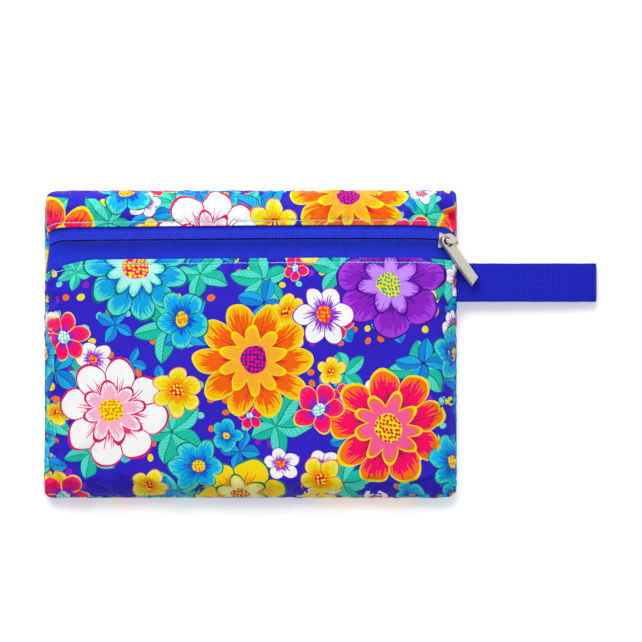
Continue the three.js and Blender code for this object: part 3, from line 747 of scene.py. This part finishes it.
# the sewn sheet with a little spare cloth, pushed out by the stuffing and left to buckle at its seams
def settleCloth(grid, sewn):
    base, held = grid[::2, ::2], sewn[::2, ::2]
    mesh = bpy.data.meshes.new("settling")
    points = base.reshape(-1, 3) * settle["inLength"]
    mesh.from_pydata(points.tolist(), [], gridFaces(*base.shape[:2]).tolist())
    sheet = bpy.data.objects.new("settling", mesh)
    scene.collection.objects.link(sheet)
    sheet.vertex_groups.new(name="sewn").add(np.flatnonzero(held.ravel()).tolist(), 1.0, "REPLACE")
    cloth = sheet.modifiers.new("settle", "CLOTH")
    cloth.collision_settings.use_collision = False
    cloth.point_cache.frame_end = settle["frames"]
    values = cloth.settings
    values.quality = settle["quality"]
    values.mass = settle["mass"]
    values.bending_stiffness = settle["bend"]
    values.use_pressure = True
    values.uniform_pressure_force = settle["push"]
    values.shrink_min = -settle["spare"]
    values.effector_weights.gravity = 0
    values.vertex_group_mass = "sewn"
    for step in range(1, settle["frames"] + 1):
        scene.frame_set(step)
    result = sheet.evaluated_get(bpy.context.evaluated_depsgraph_get()).to_mesh()
    settled = np.empty(points.size)
    result.vertices.foreach_get("co", settled)
    bpy.data.objects.remove(sheet)
    bpy.data.meshes.remove(mesh)
    scene.frame_set(1)
    moved = (settled.reshape(-1, 3) - points).reshape(base.shape) / settle["inLength"]
    far = np.linalg.norm(moved, axis=2, keepdims=True)
    moved *= np.tanh(far / settle["cap"]) * settle["cap"] / np.maximum(far, 1e-9)
    print("cloth settled, mean move", moved[..., 2].mean().round(2), "most", far.max().round(2), "mm")
    return grid + finer(moved)


def buildPanel(cut):
    side, wall = cut["side"], pouch["cloth"]
    y = panelRows(side, 0.0, cut["rows"])
    base = frontPoint(columns, y, 0.0)
    normals = gridNormals(base)
    toZip = np.abs(y - edges[side])
    grid = base + normals * clothRelief(base, toZip, cut["seed"])[..., None]
    zipRow, seamRow = (-1, 0) if side < 0 else (0, -1)
    sewn = toZip < panels["stitchFrom"] + panels["sewnPast"]
    sewn[:, [0, -1]] = True
    sewn[seamRow] = True
    grid = settleCloth(grid, sewn)
    cloth = clothLengths(base, cut["offset"])
    inner = frontPoint(columns, panelRows(side, wall, cut["innerRows"]), wall)
    if side > 0:
        cloth[..., 0] += pleat["hidden"] * pleatShare(base[..., 0], base[..., 1], pleat["jump"])
        grid, inner = pleated(grid), pleated(inner)
    # the cut edge is turned under: a half round between the two layers
    out = grid[zipRow]
    deep = out - normals[zipRow] * wall
    middle = (out + deep) / 2
    angles = np.linspace(0, np.pi, panels["turnSteps"])[1:-1, None, None]
    turn = middle + (out - middle) * np.cos(angles)
    turn[..., 1] -= side * panels["roll"] * np.sin(angles[..., 0])
    turnCloth = np.repeat(cloth[zipRow][None], len(turn), 0)
    inner[zipRow] = deep
    outer, outerCloth = [grid, turn], [cloth, turnCloth]
    if side > 0:
        outer, outerCloth = [turn[::-1], grid], [turnCloth, cloth]
    layers = np.concatenate(outer), inner, np.concatenate(outerCloth), inner[..., :2] + cut["offset"]
    piece = makePiece(cut["name"], *sheetOf(*layers), printedNylon, "printed_cloth")
    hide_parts(cut["node"])
    print(cut["name"], len(piece.data.polygons))
    return grid, y


sewnPanels = {cut["side"]: buildPanel(cut) for cut in panelCuts}


# back cloth: loops from the seam down to the flat that it lies on

backCut = dict(perSide=90, perCorner=8, seamLoops=7, roundLoops=13, gather=0.35, sink=0.85, wave=9.0, seed=41,
               wallPower=1.5, fadePower=0.5, drawFrom=117.0, offset=(77, 95))
# corners in turn: side, end, first angle, way along the next edge
backCorners = [(1, -1, -90, 0, 2), (1, 1, 0, -2, 0), (-1, 1, 90, 0, -2), (-1, -1, 180, 2, 0)]


def backRing(inset, radius, draw, low, lift):
    cx, cy = pouch["halfWide"] - inset - radius, pouch["halfHigh"] - inset - radius
    shares = np.linspace(0, 1, backCut["perSide"], endpoint=False)[:, None]
    ring = []
    for side, end, start, wayX, wayY in backCorners:
        angles = np.radians(np.linspace(start, start + 90, backCut["perCorner"] + 1))
        bend = np.stack([side * cx + radius * np.cos(angles), end * cy + radius * np.sin(angles)], 1)
        ring += [bend[:-1], bend[-1] + shares * [wayX * cx, wayY * cy]]
    x, y = np.concatenate(ring).T
    moved = x + draw * zipRun["draw"] * zipDraw(y) * smooth(-x, backCut["drawFrom"], pouch["halfWide"])
    return np.stack([*drawnCorner(moved, y), mix(low, seamLine(x, y) - pouch["seamGap"], lift)], -1)


def backLoops(wall):
    belly, corner = pouch["belly"], pouch["corner"]
    loops = []
    for s in np.linspace(1, 0, backCut["seamLoops"]):
        inward = 1 - np.cos(s * np.pi / 2)
        inset = pouch["tuck"] * inward + wall
        loops.append(backRing(inset, corner - wall / 2, inward, belly, np.sin(s * np.pi / 2)))
    for q in np.linspace(0, 1, backCut["roundLoops"])[1:]:
        inset = mix(wall, pouch["backRound"], 1 - np.cos(q * np.pi / 2))
        low = mix(belly, wall, np.sin(q * np.pi / 2))
        loops.append(backRing(inset, mix(corner, pouch["floorCorner"], q), 0, low, 0))
    return np.array(loops)


def buildBack():
    outer, inner = backLoops(0.0), backLoops(pouch["cloth"])
    loops, count = outer.shape[:2]
    # gathers along the side wall, none where it lies
    widest = outer[backCut["seamLoops"] - 1]
    outward = unit((widest - outer[-1]) * [1, 1, 0])
    share = np.clip(outer[..., 2:] / pouch["belly"], 0, 1) ** backCut["wallPower"]
    fade = np.sin(np.linspace(0, 1, loops) * np.pi)[:, None, None] ** backCut["fadePower"]
    puckers = gathers(lengthsAlong(widest), backCut["wave"], backCut["seed"]) - backCut["sink"]
    outer = outer + outward * share * fade * backCut["gather"] * puckers[:, None]
    i = np.arange(count)
    j = (i + 1) % count
    faces = []
    for k in range(2 * loops):
        if k != loops - 1:
            a, b = k * count, (k + 1) % (2 * loops) * count
            faces.extend(np.stack([a + i, b + i, b + j, a + j], 1))
    floorStart = (loops - 1) * count
    faces += [i[::-1] + floorStart, i + floorStart + count]
    # print runs on up the side wall by its length along the cloth
    steps = np.linalg.norm(np.diff(outer[::-1], axis=0), axis=2)
    rise = np.concatenate([np.zeros((1, count)), np.cumsum(steps, 0)])[::-1]
    flatMap = outer[-1, :, :2] + outward[:, :2] * rise[..., None]
    maps = stacked(flatMap, inner[::-1, :, :2]) * [-1, 1] + backCut["offset"]
    piece = makePiece("backCloth", stacked(outer, inner[::-1]), faces, maps, printedNylon, "printed_cloth")
    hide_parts("back_panel")
    return piece


backCloth = buildBack()
print("back cloth", len(backCloth.data.polygons))


# zip tapes, lifted along the slit by the coil under them

# slack as height, wave and reach; ends as depth where bare and where covered; the others as start and end
tape = dict(rows=30, lowRows=8, edgeSteps=24, steps=601, length=270.0, slit=0.48, nib=0.22, power=1.2,
            knee=0.8, parted=2.2, partedFrom=(117.0, 122.0), partedTo=(127.0, 129.3), slack=(0.16, 13.0, 4.0),
            seed=60, ends=(0.35, 1.5), rise=0.8, riseFrom=(116.0, 124.0), riseBy=(-5.0, -0.5),
            diveFrom=(122.0, 125.0), diveBy=(0.2, 3.2))
# taper as thinning towards the ends of a turn and its power
coil = dict(pitch=1.77, reach=1.9, depth=2.75, sag=0.5, radius=0.5, taper=(0.4, 8), lean=0.35, slip=0.25,
            start=-128.0, end=121.0, steps=9, sides=8)
tapeColumns = columnsOf(tape["edgeSteps"], tape["steps"])
tapeX = placesAlong(tapeColumns)


# the two edges part behind the slider, and the coil's heads nick them elsewhere
def slitHalf(x, side):
    parted = smooth(x, *tape["partedFrom"]) * (1 - smooth(x, *tape["partedTo"]))
    nicks = tape["nib"] * np.sin(fullTurn * x / coil["pitch"] + side)
    return mix(tape["slit"] + nicks, tape["parted"], parted)


def tapeReach(side):
    return zipSides[side]["show"] + zipSides[side]["tuck"]


def tapeGrid(side, extra, shares):
    away = mix(slitHalf(tapeX, side), tapeReach(side), shares[:, None])
    # the tape falls away evenly from the slit, then runs flat
    slope, length = zipSides[side]["fall"]
    knee = tape["knee"]
    depth = zipRun["depth"] + extra + slope * (away - knee * np.log1p(np.exp((away - length) / knee)))
    # slack of the tape beside its sewing
    past = away - np.abs(foldEdge(tapeX, side) - zipLine(tapeX))
    high, wave, reach = tape["slack"]
    depth = depth + high * gathers(tapeX, wave, tape["seed"] + side) * near(past, reach)
    covered = smooth(past, *zipSides[side]["covered"])
    if side > 0:
        # beside the slider it comes up to the folded edge
        risen = smooth(tapeX, *tape["riseFrom"]) * smooth(past, *tape["riseBy"])
        depth = mix(depth, mix(extra + tape["rise"], depth, covered), risen)
    # both ends come up to the side seams, but stay under the cloth that covers them
    bare, under = tape["ends"]
    depth = mix(depth, extra + mix(bare, under, covered), (1 - tapeColumns[1]) ** 2)
    if side > 0:
        # it dives under the pleat
        dive = pleat["drop"] + pleat["hollow"][3] / 2
        depth = depth + dive * smooth(past, *tape["diveBy"]) * smooth(tapeX, *tape["diveFrom"])
    return frontPoint(tapeColumns, zipLine(tapeX) + side * away, depth), away


tapeGrids = {}
for side, half in zipSides.items():
    grid, away = tapeGrid(side, 0.0, np.linspace(0, 1, tape["rows"]) ** tape["power"])
    low, lowAway = tapeGrid(side, zipRun["wall"], np.linspace(0, 1, tape["lowRows"]))
    tapeGrids[side] = grid
    maps = [np.stack([np.broadcast_to(tapeX, a.shape), side * a], -1) for a in (away, lowAway)]
    sheet = sheetOf(*(layer[::side] for layer in (grid, low, *maps)))
    piece = makePiece(half["name"], *sheet, zipTape, "zip_tape")
    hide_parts(half["node"])


# short lengths of yarn as one mesh: middles and ups are (count, rings, 3), radius is (count, rings)
def yarnPiece(name, middles, ups, radius, material, slot, sides=6):
    count, rings = radius.shape
    across = np.cross(ups, unit(np.gradient(middles, axis=1)))
    a = np.linspace(0, fullTurn, sides, endpoint=False)[:, None]
    spokes = across[:, :, None] * np.cos(a) + ups[:, :, None] * np.sin(a)
    points = middles[:, :, None] + radius[:, :, None, None] * spokes
    k, r, s = np.meshgrid(np.arange(count), np.arange(rings - 1), np.arange(sides), indexing="ij")
    t = (s + 1) % sides
    base = (k * rings + r) * sides
    quads = np.stack([base + s, base + t, base + sides + t, base + sides + s], -1).reshape(-1, 4)
    first = np.arange(count)[:, None] * rings * sides + np.arange(sides)
    faces = [*quads, *first[:, ::-1], *(first + (rings - 1) * sides)]
    return makePiece(name, stacked(points), faces, None, material, slot)


# all stitches: rings to a stitch, slip of the needle, sink into the cloth and thinning to its ends
sewing = dict(rings=7, slip=0.08, sink=0.3, taper=0.45)
topstitch = dict(pitch=3.0, fill=0.97, radius=0.25, lift=0.4, lean=0.07, start=-126.5)
# its real pitch is near 1.8 mm, drawn at 2.4 mm so that the dots stand apart
coilStitch = dict(pitch=2.4, fill=0.33, radius=0.36, lift=0.1, lean=0.12, offsets=(1.85, 3.35), ends=(12, 20))


# a row of stitches: each dips into the cloth at both ends and leans a little
def stitchRow(name, grid, normals, row, col, stitch, material, slot, phase=0.0):
    path = sampled(grid, row, col)
    lengths = lengthsAlong(path)
    pitch, rings = stitch["pitch"], sewing["rings"]
    count = int(lengths[-1] / pitch) - 1
    start = (np.arange(count) + phase + 0.5 * (1 - stitch["fill"])) * pitch
    start += dice.uniform(-sewing["slip"], sewing["slip"], count)
    at = start[:, None] + np.linspace(0, 1, rings) * pitch * stitch["fill"]
    middles = pointsAt(at, lengths, path)
    ups = unit(pointsAt(at, lengths, sampled(normals, row, col)))
    across = unit(np.cross(ups, np.gradient(middles, axis=1)))
    arch = np.sin(np.linspace(0, np.pi, rings))
    lift = stitch["lift"] * arch - sewing["sink"] * stitch["radius"]
    middles = middles + ups * lift[:, None] + across * stitch["lean"] * np.linspace(-1, 1, rings)[:, None]
    radius = np.broadcast_to(stitch["radius"] * mix(1, arch, sewing["taper"]), at.shape)
    return yarnPiece(name, middles, ups, radius, material, slot)


for side, name, last in ((-1, "lowerTopstitch", 128.5), (1, "upperTopstitch", 126.0)):
    grid, y = sewnPanels[side]
    col = np.flatnonzero((lineX > topstitch["start"]) & (lineX < last))
    target = edges[side] + side * panels["stitchFrom"]
    row = np.array([np.interp(target[c], y[:, c], np.arange(y.shape[0])) for c in col])
    stitchRow(name, grid, gridNormals(grid), row, col, topstitch, topThread, "webbing")

col = np.arange(coilStitch["ends"][0], len(tapeX) - coilStitch["ends"][1])
for side, label in ((1, "Upper"), (-1, "Lower")):
    grid = tapeGrids[side]
    for n, off in enumerate(coilStitch["offsets"]):
        share = ((off - tape["slit"]) / (tapeReach(side) - tape["slit"])) ** (1 / tape["power"])
        row = np.full(col.shape, share * (tape["rows"] - 1))
        name = f"coilStitch{label}{n + 1}"
        normals = gridNormals(grid) * side
        stitchRow(name, grid, normals, row, col, coilStitch, coilThreadAndHoleShade, "zip_tape", phase=0.5 * n)


# the closed coil: turns of filament that reach across the slit from each side by turns
def buildCoil():
    turnX = np.arange(coil["start"], coil["end"], coil["pitch"])
    across = np.linspace(-1, 1, coil["steps"])
    # each turn has its own column, found by its place along the zip
    wide = [np.repeat(np.interp(turnX, tapeX, c)[:, None], len(across), 1) for c in tapeColumns]
    lean = np.where(np.arange(len(turnX)) % 2, coil["lean"], -coil["lean"])
    y = (zipLine(turnX) + lean)[:, None] + coil["reach"] * across
    middles = frontPoint(wide, y, coil["depth"] + coil["sag"] * across ** 2)
    middles[..., 0] += coil["slip"] * across
    ups = np.broadcast_to([0.0, 0.0, 1.0], middles.shape)
    thinned, power = coil["taper"]
    radius = np.broadcast_to(coil["radius"] * (1 - thinned * across ** power), middles.shape[:2])
    piece = yarnPiece("filamentCoil", middles, ups, radius, coilPlastic, "zip_coil", sides=coil["sides"])
    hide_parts("zip_coil")
    return piece


filamentCoil = buildCoil()
print("zip sewn, coil turns", len(filamentCoil.data.polygons))


# webbing loop: one band, folded at the far end, both ends in the side seam

# selvedge as thinning and its power, waver as swing and wave, fall as start and end
strap = dict(wall=1.3, root=128.1, end=218.1, low=9.4, high=11.3, fall=(0.08, 0.75), eye=4.0, clear=0.75,
             relief=0.2, sink=0.6, laneRound=0.5, selvedge=(0.45, 14), waver=(0.12, 23.0), waverPower=6,
             seed=70, alongSteps=560, acrossSteps=64, runSteps=200, foldSteps=60)


def strapLine():
    clear, eye = strap["clear"], strap["eye"]
    turnX = strap["end"] - clear - eye
    s = np.linspace(0, 1, strap["runSteps"])
    x = mix(strap["root"], turnX, s)
    upper = np.stack([x, mix(strap["high"], clear + 2 * eye, s * s)], 1)
    a = np.pi * (0.5 - np.linspace(0, 1, strap["foldSteps"])[1:-1])
    fold = np.stack([turnX + eye * np.cos(a), clear + eye * (1 + np.sin(a))], 1)
    lower = np.stack([x, mix(strap["low"], clear, smooth(s, *strap["fall"]))], 1)
    line = np.concatenate([upper, fold, lower[::-1]])
    lengths = lengthsAlong(line)
    at = np.linspace(0, lengths[-1], strap["alongSteps"])
    return pointsAt(at, lengths, line), at


def buildStrap():
    line, at = strapLine()
    w = np.linspace(-1, 1, strap["acrossSteps"])
    across = w * strapSew["width"] / 2
    # ribs and lanes of the weave stand in relief
    shift = fullTurn * webWeave["step"] * (np.floor(across / webWeave["row"]) % 2)
    ribs = 0.5 + 0.5 * np.cos(fullTurn * at[:, None] / webWeave["rib"] + shift)
    lanes = np.abs(np.sin(np.pi * across / webWeave["row"])) ** strap["laneRound"]
    # selvedges are thinner and waver a little
    thinned, power = strap["selvedge"]
    edge = 1 - thinned * np.abs(w) ** power
    height = strap["wall"] / 2 * edge + strap["relief"] * (ribs * lanes - strap["sink"])
    swing, wave = strap["waver"]
    sway = swing * gathers(at, wave, strap["seed"])[:, None]
    y = strapSew["y"] + across + sway * np.sign(w) * np.abs(w) ** strap["waverPower"]
    layers = []
    for face in (1, -1):
        x, z = bandAt(line, face * height)
        layers.append(np.stack([x, y, z], -1))
    flat = np.stack(np.meshgrid(at, across, indexing="ij"), -1)
    points, faces, maps = sheetOf(*layers, flat, flat)
    piece = makePiece("webbingLoop", points, [face[::-1] for face in faces], maps, webbing, "webbing")
    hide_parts("strap_loop")
    return piece


webbingLoop = buildStrap()
print("webbing loop", len(webbingLoop.data.polygons))


# the bag's own cloth, folded to and fro and stowed inside

bundle = dict(layers=6, pitch=2.6, first=2.6, halfX=112.0, halfY=80.0, wall=1.2, rumple=(0.25, 34.0), seed=90,
              runSteps=60, foldSteps=9, acrossSteps=57)


def bundleLine():
    run = np.linspace(-1, 1, bundle["runSteps"]) * bundle["halfY"]
    a = np.linspace(-np.pi / 2, np.pi / 2, bundle["foldSteps"])[1:-1]
    half = bundle["pitch"] / 2
    runs = []
    for k in range(bundle["layers"]):
        way, z = (-1) ** k, bundle["first"] + k * bundle["pitch"]
        runs.append(np.stack([way * run, np.full(len(run), z)], 1))
        runs.append(np.stack([way * (bundle["halfY"] + half * np.cos(a)), z + half * (1 + np.sin(a))], 1))
    return np.concatenate(runs[:-1])


def buildBundle():
    line = bundleLine()
    x, lengths = np.meshgrid(np.linspace(-1, 1, bundle["acrossSteps"]) * bundle["halfX"], lengthsAlong(line))
    high, wave = bundle["rumple"]
    rumple = high * lumps(x, lengths, wave, bundle["seed"])
    layers = [np.stack([x, *bandAt(line, face * bundle["wall"] / 2 + rumple)], -1) for face in (1, -1)]
    flat = np.stack([x, lengths], -1)
    piece = makePiece("stowedCloth", *sheetOf(*layers, flat, flat), printedNylon, "stowed_cloth")
    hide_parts("folded_body")
    return piece


stowedCloth = buildBundle()
print("stowed cloth", len(stowedCloth.data.polygons))


# slider, bail and pull, in the slider's own frame: x along the zip to the nose, 0 on the tape

slider = dict(x=123.9, wingLow=0.3, wingWall=1.1, wingSoft=0.3, wingSteps=46, legX=-1.3, legRadius=1.0,
              legTop=6.5, bossRadius=2.5, bossTop=1.7, overlap=0.4, soft=0.2, under=-3.55, underWall=1.0,
              underTail=-6.1, underNose=1.8, underHalf=4.4, railTail=-5.6, railNose=1.5, railWide=1.0,
              railLow=0.5, railHigh=1.4, neckInto=0.5, eyeRoom=0.1, eyeTop=5.9)
# half widths of the wing from tail to nose
wingRows = [(-6.1, 4.2), (-5.8, 4.7), (-4.7, 4.7), (-3.2, 4.1), (-1.2, 4.6), (0.6, 5.0), (2.0, 4.7),
            (4.6, 3.1), (6.0, 2.2), (6.5, 1.3)]
# outline of the neck that joins the wing to the plate under the tape
neckRows = [(-1.3, 0), (0, -1.6), (1.6, -1.2), (1.6, 1.2), (0, 1.6)]
# bail stations: x, z, thickness, half width
bailRows = [(-2.7, 6.6, 0.5, 0.8), (-2.45, 6.7, 1.0, 1.25), (-1.7, 6.75, 1.3, 1.5), (-0.6, 6.75, 1.3, 1.6),
            (0.8, 6.75, 1.3, 1.6), (2.4, 6.75, 1.3, 1.5), (3.8, 6.6, 1.3, 1.3), (4.9, 6.05, 1.3, 1.1),
            (5.7, 5.1, 1.3, 1.0), (6.05, 3.8, 1.4, 0.9), (6.05, 2.4, 1.4, 0.85), (5.95, 1.1, 1.3, 0.85)]
bail = dict(stations=44, sides=24, squared=0.6)
# points of the tape's ridge at the straight right end: share up the shoulder, place along the zip
ridgeTail, ridgeNose = (0.85, 118.0), (0.55, 126.0)
pull = dict(length=31.7, width=7.4, shift=-0.6, middle=3.75, wall=2.3, hole=2.25, holeShift=-0.3, slot=1.7,
            holeSoft=0.7, turn=-47.0, roll=-15.0, corner=0.7, slant=0.24, bevel=(0.6, 1.15), soft=0.3,
            ringSteps=33, barSteps=24, cornerSteps=7)
# bevel of the pull's upper edge with narrow flats beside its bends: shares of its reach and fall
bevelRows = [(0, 1.12), (0.04, 1.0), (0.14, 0.86), (0.22, 0.78), (0.78, 0.22), (0.86, 0.14), (1.0, 0.04),
             (1.12, 0), (1.24, 0)]
sharpAngle = math.radians(38)


def ridgePoint(q, x):
    return frontPoint((np.array(1), np.array(q), np.array(1.0)), zipLine(np.array(x)), zipRun["depth"])


def sliderFrame():
    tail, nose = ridgePoint(*ridgeTail), ridgePoint(*ridgeNose)
    run = nose - tail
    alongX = unit(run)
    alongY = unit(np.cross([0, 0, 1], alongX))
    return tail + run * (slider["x"] - tail[0]) / run[0], np.stack([alongX, alongY, np.cross(alongX, alongY)])


seat, sliderAxes = sliderFrame()


def onSlider(points):
    return seat + points @ sliderAxes


def turned(a, b, degrees):
    c, s = math.cos(math.radians(degrees)), math.sin(math.radians(degrees))
    return a * c - b * s, a * s + b * c


def ringsOf(outline, levels):
    ahead = unit(np.roll(outline, -1, 0) - np.roll(outline, 1, 0))
    inward = np.stack([-ahead[:, 1], ahead[:, 0]], 1)
    return [np.column_stack([outline + inward * inset, np.full(len(outline), z)]) for inset, z in levels]


def loftOf(rings, closed=False):
    count = len(rings[0])
    i = np.arange(count)
    j = (i + 1) % count
    faces = []
    for k in range(len(rings) - (0 if closed else 1)):
        a, b = k * count, (k + 1) % len(rings) * count
        faces.extend(np.stack([a + i, a + j, b + j, b + i], 1))
    if not closed:
        faces += [i[::-1], i + (len(rings) - 1) * count]
    return np.concatenate(rings), faces


# quarter rounds at both edges of a casting, each with a narrow flat beside it so that its faces shade flat
castEdge = dict(steps=5, flat=1.3)


def softLevels(low, high, soft):
    flat = castEdge["flat"] * soft
    bends = np.linspace(0, np.pi / 2, castEdge["steps"])
    under = [(soft * (1 - math.sin(a)), low + soft * (1 - math.cos(a))) for a in bends]
    over = [(inset, low + high - z) for inset, z in under[::-1]]
    return [(flat, low), *under, *over, (flat, high)]


def softPlate(outline, low, high, soft):
    return loftOf(ringsOf(outline, softLevels(low, high, soft)))


def discOutline(x, radius, count=28):
    a = np.linspace(0, fullTurn, count, endpoint=False)
    return np.stack([x + radius * np.cos(a), radius * np.sin(a)], 1)


def boxOutline(x0, x1, y0, y1):
    return np.array([(x0, y0), (x1, y0), (x1, y1), (x0, y1)], float)


# a smooth curve through rows of values
def smoothRows(rows, count):
    rows = np.array(rows, float)
    at = np.linspace(0, len(rows) - 1, count)
    k = np.clip(np.floor(at).astype(int), 0, len(rows) - 2)
    t = (at - k)[:, None]
    p0, p1 = rows[np.maximum(k - 1, 0)], rows[k]
    p2, p3 = rows[k + 1], rows[np.minimum(k + 2, len(rows) - 1)]
    bend = 2 * p0 - 5 * p1 + 4 * p2 - p3
    twist = 3 * p1 - p0 - 3 * p2 + p3
    return 0.5 * (2 * p1 + (p2 - p0) * t + bend * t ** 2 + twist * t ** 3)


# bail: rounded band lofted over the ring and down to the nose
def bailLoft():
    stations = smoothRows(bailRows, bail["stations"])
    a = np.linspace(0, fullTurn, bail["sides"], endpoint=False)
    # squared round section
    across, up = (np.sign(wave) * np.abs(wave) ** bail["squared"] for wave in (np.cos(a), np.sin(a)))
    rings = []
    for (x, z, thick, half), (leftX, leftZ) in zip(stations, leftOf(stations[:, :2])):
        rise = up * thick / 2
        rings.append(np.stack([x + leftX * rise, -half * across, z + leftZ * rise], 1))
    return loftOf(rings)


# closed castings joined into one body
def fuse(name, parts, material, body):
    made = []
    for points, faces in parts:
        part = bpy.data.objects.new(name, meshOf(name, onSlider(points), faces))
        scene.collection.objects.link(part)
        made.append(part)
    piece, *others = made
    for part in others:
        join = piece.modifiers.new("join", "BOOLEAN")
        join.operation = "UNION"
        join.solver = "EXACT"
        join.object = part
    mesh = bpy.data.meshes.new_from_object(piece.evaluated_get(bpy.context.evaluated_depsgraph_get()))
    piece.modifiers.clear()
    piece.data = mesh
    for part in others:
        bpy.data.objects.remove(part)
    mesh.materials.clear()
    mesh.materials.append(material)
    mesh.polygons.foreach_set("use_smooth", [True] * len(mesh.polygons))
    mesh.set_sharp_from_angle(angle=sharpAngle)
    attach(piece, body)
    return piece


# painted shade: the faces that show in the eye of the pull take the dark nickel
def paintEyeShade(piece, shadedFaces):
    piece.data.materials.append(eyeShadeMaterial)
    piece.data.polygons.foreach_set("material_index", shadedFaces.astype(np.int32))


def buildSlider():
    low, top, leg = slider["wingLow"], slider["wingLow"] + slider["wingWall"], slider["legX"]
    under, half, soft = slider["under"], slider["underHalf"], slider["soft"]
    foot = top - slider["overlap"]
    wingHalf = smoothRows(wingRows, slider["wingSteps"])
    wing = softPlate(np.concatenate([wingHalf * [1, -1], wingHalf[::-1]]), low, top, slider["wingSoft"])
    boss = softPlate(discOutline(leg, slider["bossRadius"]), foot, slider["bossTop"], soft)
    post = loftOf(ringsOf(discOutline(leg, slider["legRadius"]), [(0, foot), (0, slider["legTop"])]))
    neckLevels = [(0, under - slider["overlap"]), (0, low + slider["neckInto"])]
    neck = loftOf(ringsOf(np.array(neckRows), neckLevels))
    plate = softPlate(boxOutline(slider["underTail"], slider["underNose"], -half, half),
                      under - slider["underWall"], under, soft)
    rails = []
    for y in (-half, half - slider["railWide"]):
        outline = boxOutline(slider["railTail"], slider["railNose"], y, y + slider["railWide"])
        rails.append(softPlate(outline, under - slider["railLow"], under + slider["railHigh"], soft))
    parts = [wing, boss, post, bailLoft(), neck, plate, *rails]
    piece = fuse("sliderCasting", parts, nickel, "bag")
    # painted shade on the boss and post where they show in the pull's eye
    middles = np.array([face.center for face in piece.data.polygons]) * 1000
    x, y, z = ((middles - seat) @ sliderAxes.T).T
    nearLeg = np.hypot(x - leg, y) < slider["bossRadius"] + slider["eyeRoom"]
    paintEyeShade(piece, nearLeg & (z > top) & (z < slider["eyeTop"]))
    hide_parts("zip_slider")
    return piece


# pull: ring end round the bail's leg and a flat bar, its face left bare
def pullOutline():
    half, end, corner = pull["width"] / 2, pull["length"], pull["corner"]
    ring = np.radians(np.linspace(90, 270, pull["ringSteps"]))
    turn = np.radians(np.linspace(-90, 0, pull["cornerSteps"]))
    bar = np.linspace(0, end - corner, pull["barSteps"])[1:]
    low = np.stack([bar, np.full(len(bar), -half)], 1)
    nose = np.stack([end - corner + corner * np.cos(turn), -half + corner + corner * np.sin(turn)], 1)[1:]
    lower = np.concatenate([low, nose])
    ring = half * np.stack([np.cos(ring), np.sin(ring)], 1)
    outline = np.concatenate([ring, lower, lower[::-1] * [1, -1]])
    # the end is cut a little aslant
    outline[:, 0] -= pull["slant"] * outline[:, 1] * smooth(outline[:, 0], 0.5 * end, end - corner)
    return outline + [0, pull["shift"]]


def buildPull():
    outline = pullOutline()
    count, high = len(outline), pull["wall"] / 2
    reach, fall = pull["bevel"]
    # round below, bevelled above
    levels = softLevels(-high, high, pull["soft"])
    outer = levels[:len(levels) // 2] + [(reach * inset, high - fall * drop) for inset, drop in bevelRows]
    rings = ringsOf(outline, outer)
    # the long hole, a point for each point of the outline
    middle = np.column_stack([np.clip(outline[:, 0], 0, pull["slot"]), np.full(count, pull["holeShift"])])
    away = unit(outline - middle)
    for inset, z in levels[::-1]:
        hole = middle + away * (pull["hole"] + pull["holeSoft"] * inset)
        rings.append(np.column_stack([hole, np.full(count, z)]))
    points, faces = loftOf(rings, closed=True)
    x, y, z = points.T
    y, z = turned(y, z, pull["roll"])
    x, y = turned(x, y, pull["turn"])
    points = onSlider(np.stack([x + slider["legX"], y, z + pull["middle"]], 1))
    piece = makePiece("pullBar", points, faces, None, nickel, "nickel", body="pull")
    piece.data.set_sharp_from_angle(angle=sharpAngle)
    # painted shade on the wall of the hole, without its rounds at the upper face
    ring = np.arange(len(faces)) // count
    paintEyeShade(piece, (ring >= len(outer) + 3) & (ring < len(rings) - 1))
    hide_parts("pull_tab")
    return piece


sliderCasting = buildSlider()
pullBar = buildPull()
print("slider", len(sliderCasting.data.polygons), "pull", len(pullBar.data.polygons))


# floor, light and camera, in metres but for the sensor, which is in millimetres

studio = dict(floor=3.0, horizon=0.16, zenith=0.5, sensor=36.0, frameWidth=0.4043, distance=8.0,
              aim=(0.0443, 0.0145, 0.01))
# soft boxes: power, size, place, aim
softBoxes = dict(keyBox=(29.0, 1.3, (-0.28, 1.1, 1.1), (0.04, 0, 0)),
                 sideBox=(3.0, 1.2, (1.1, 0.37, 1.12), (0.12, 0.05, 0)),
                 fillBox=(2.0, 1.2, (0.5, -0.7, 1.2), (0.04, 0, 0)))

half = studio["floor"] / 2
mesh = bpy.data.meshes.new("studioFloor")
mesh.from_pydata([(-half, -half, 0), (half, -half, 0), (half, half, 0), (-half, half, 0)], [], [(0, 1, 2, 3)])
mesh.materials.append(makeSolid("rolledWhiteBoard", whiteBoard))
studioFloor = bpy.data.objects.new("studioFloor", mesh)
scene.collection.objects.link(studioFloor)

for name, (power, size, place, aim) in softBoxes.items():
    light = bpy.data.lights.new(name, "AREA")
    light.energy = power
    light.size = size
    lamp = bpy.data.objects.new(name, light)
    lamp.location = place
    lamp.rotation_euler = (Vector(aim) - Vector(place)).to_track_quat("-Z", "Y").to_euler()
    scene.collection.objects.link(lamp)

# the room: brighter overhead than at the horizon, so metal has something to show
world = bpy.data.worlds.new("studioRoom")
world.use_nodes = True
add = partial(addNode, world.node_tree)
up = add("SeparateXYZ", add("TexCoord").outputs["Generated"]).outputs[2]
glow = add("Math MULTIPLY_ADD", up, studio["zenith"] - studio["horizon"], studio["horizon"])
sky = world.node_tree.nodes["Background"]
world.node_tree.links.new(glow.outputs[0], sky.inputs["Strength"])
sky.inputs["Color"].default_value = srgb("#FFFFFF")
scene.world = world
scene.view_settings.view_transform = "Standard"

camera = bpy.data.cameras.new("photoCamera")
camera.sensor_width = studio["sensor"]
camera.lens = camera.sensor_width * studio["distance"] / studio["frameWidth"]
eye = bpy.data.objects.new("photoCamera", camera)
eye.location = Vector(studio["aim"]) + Vector((0, 0, studio["distance"]))
scene.collection.objects.link(eye)
scene.camera = eye

print("scene ready")
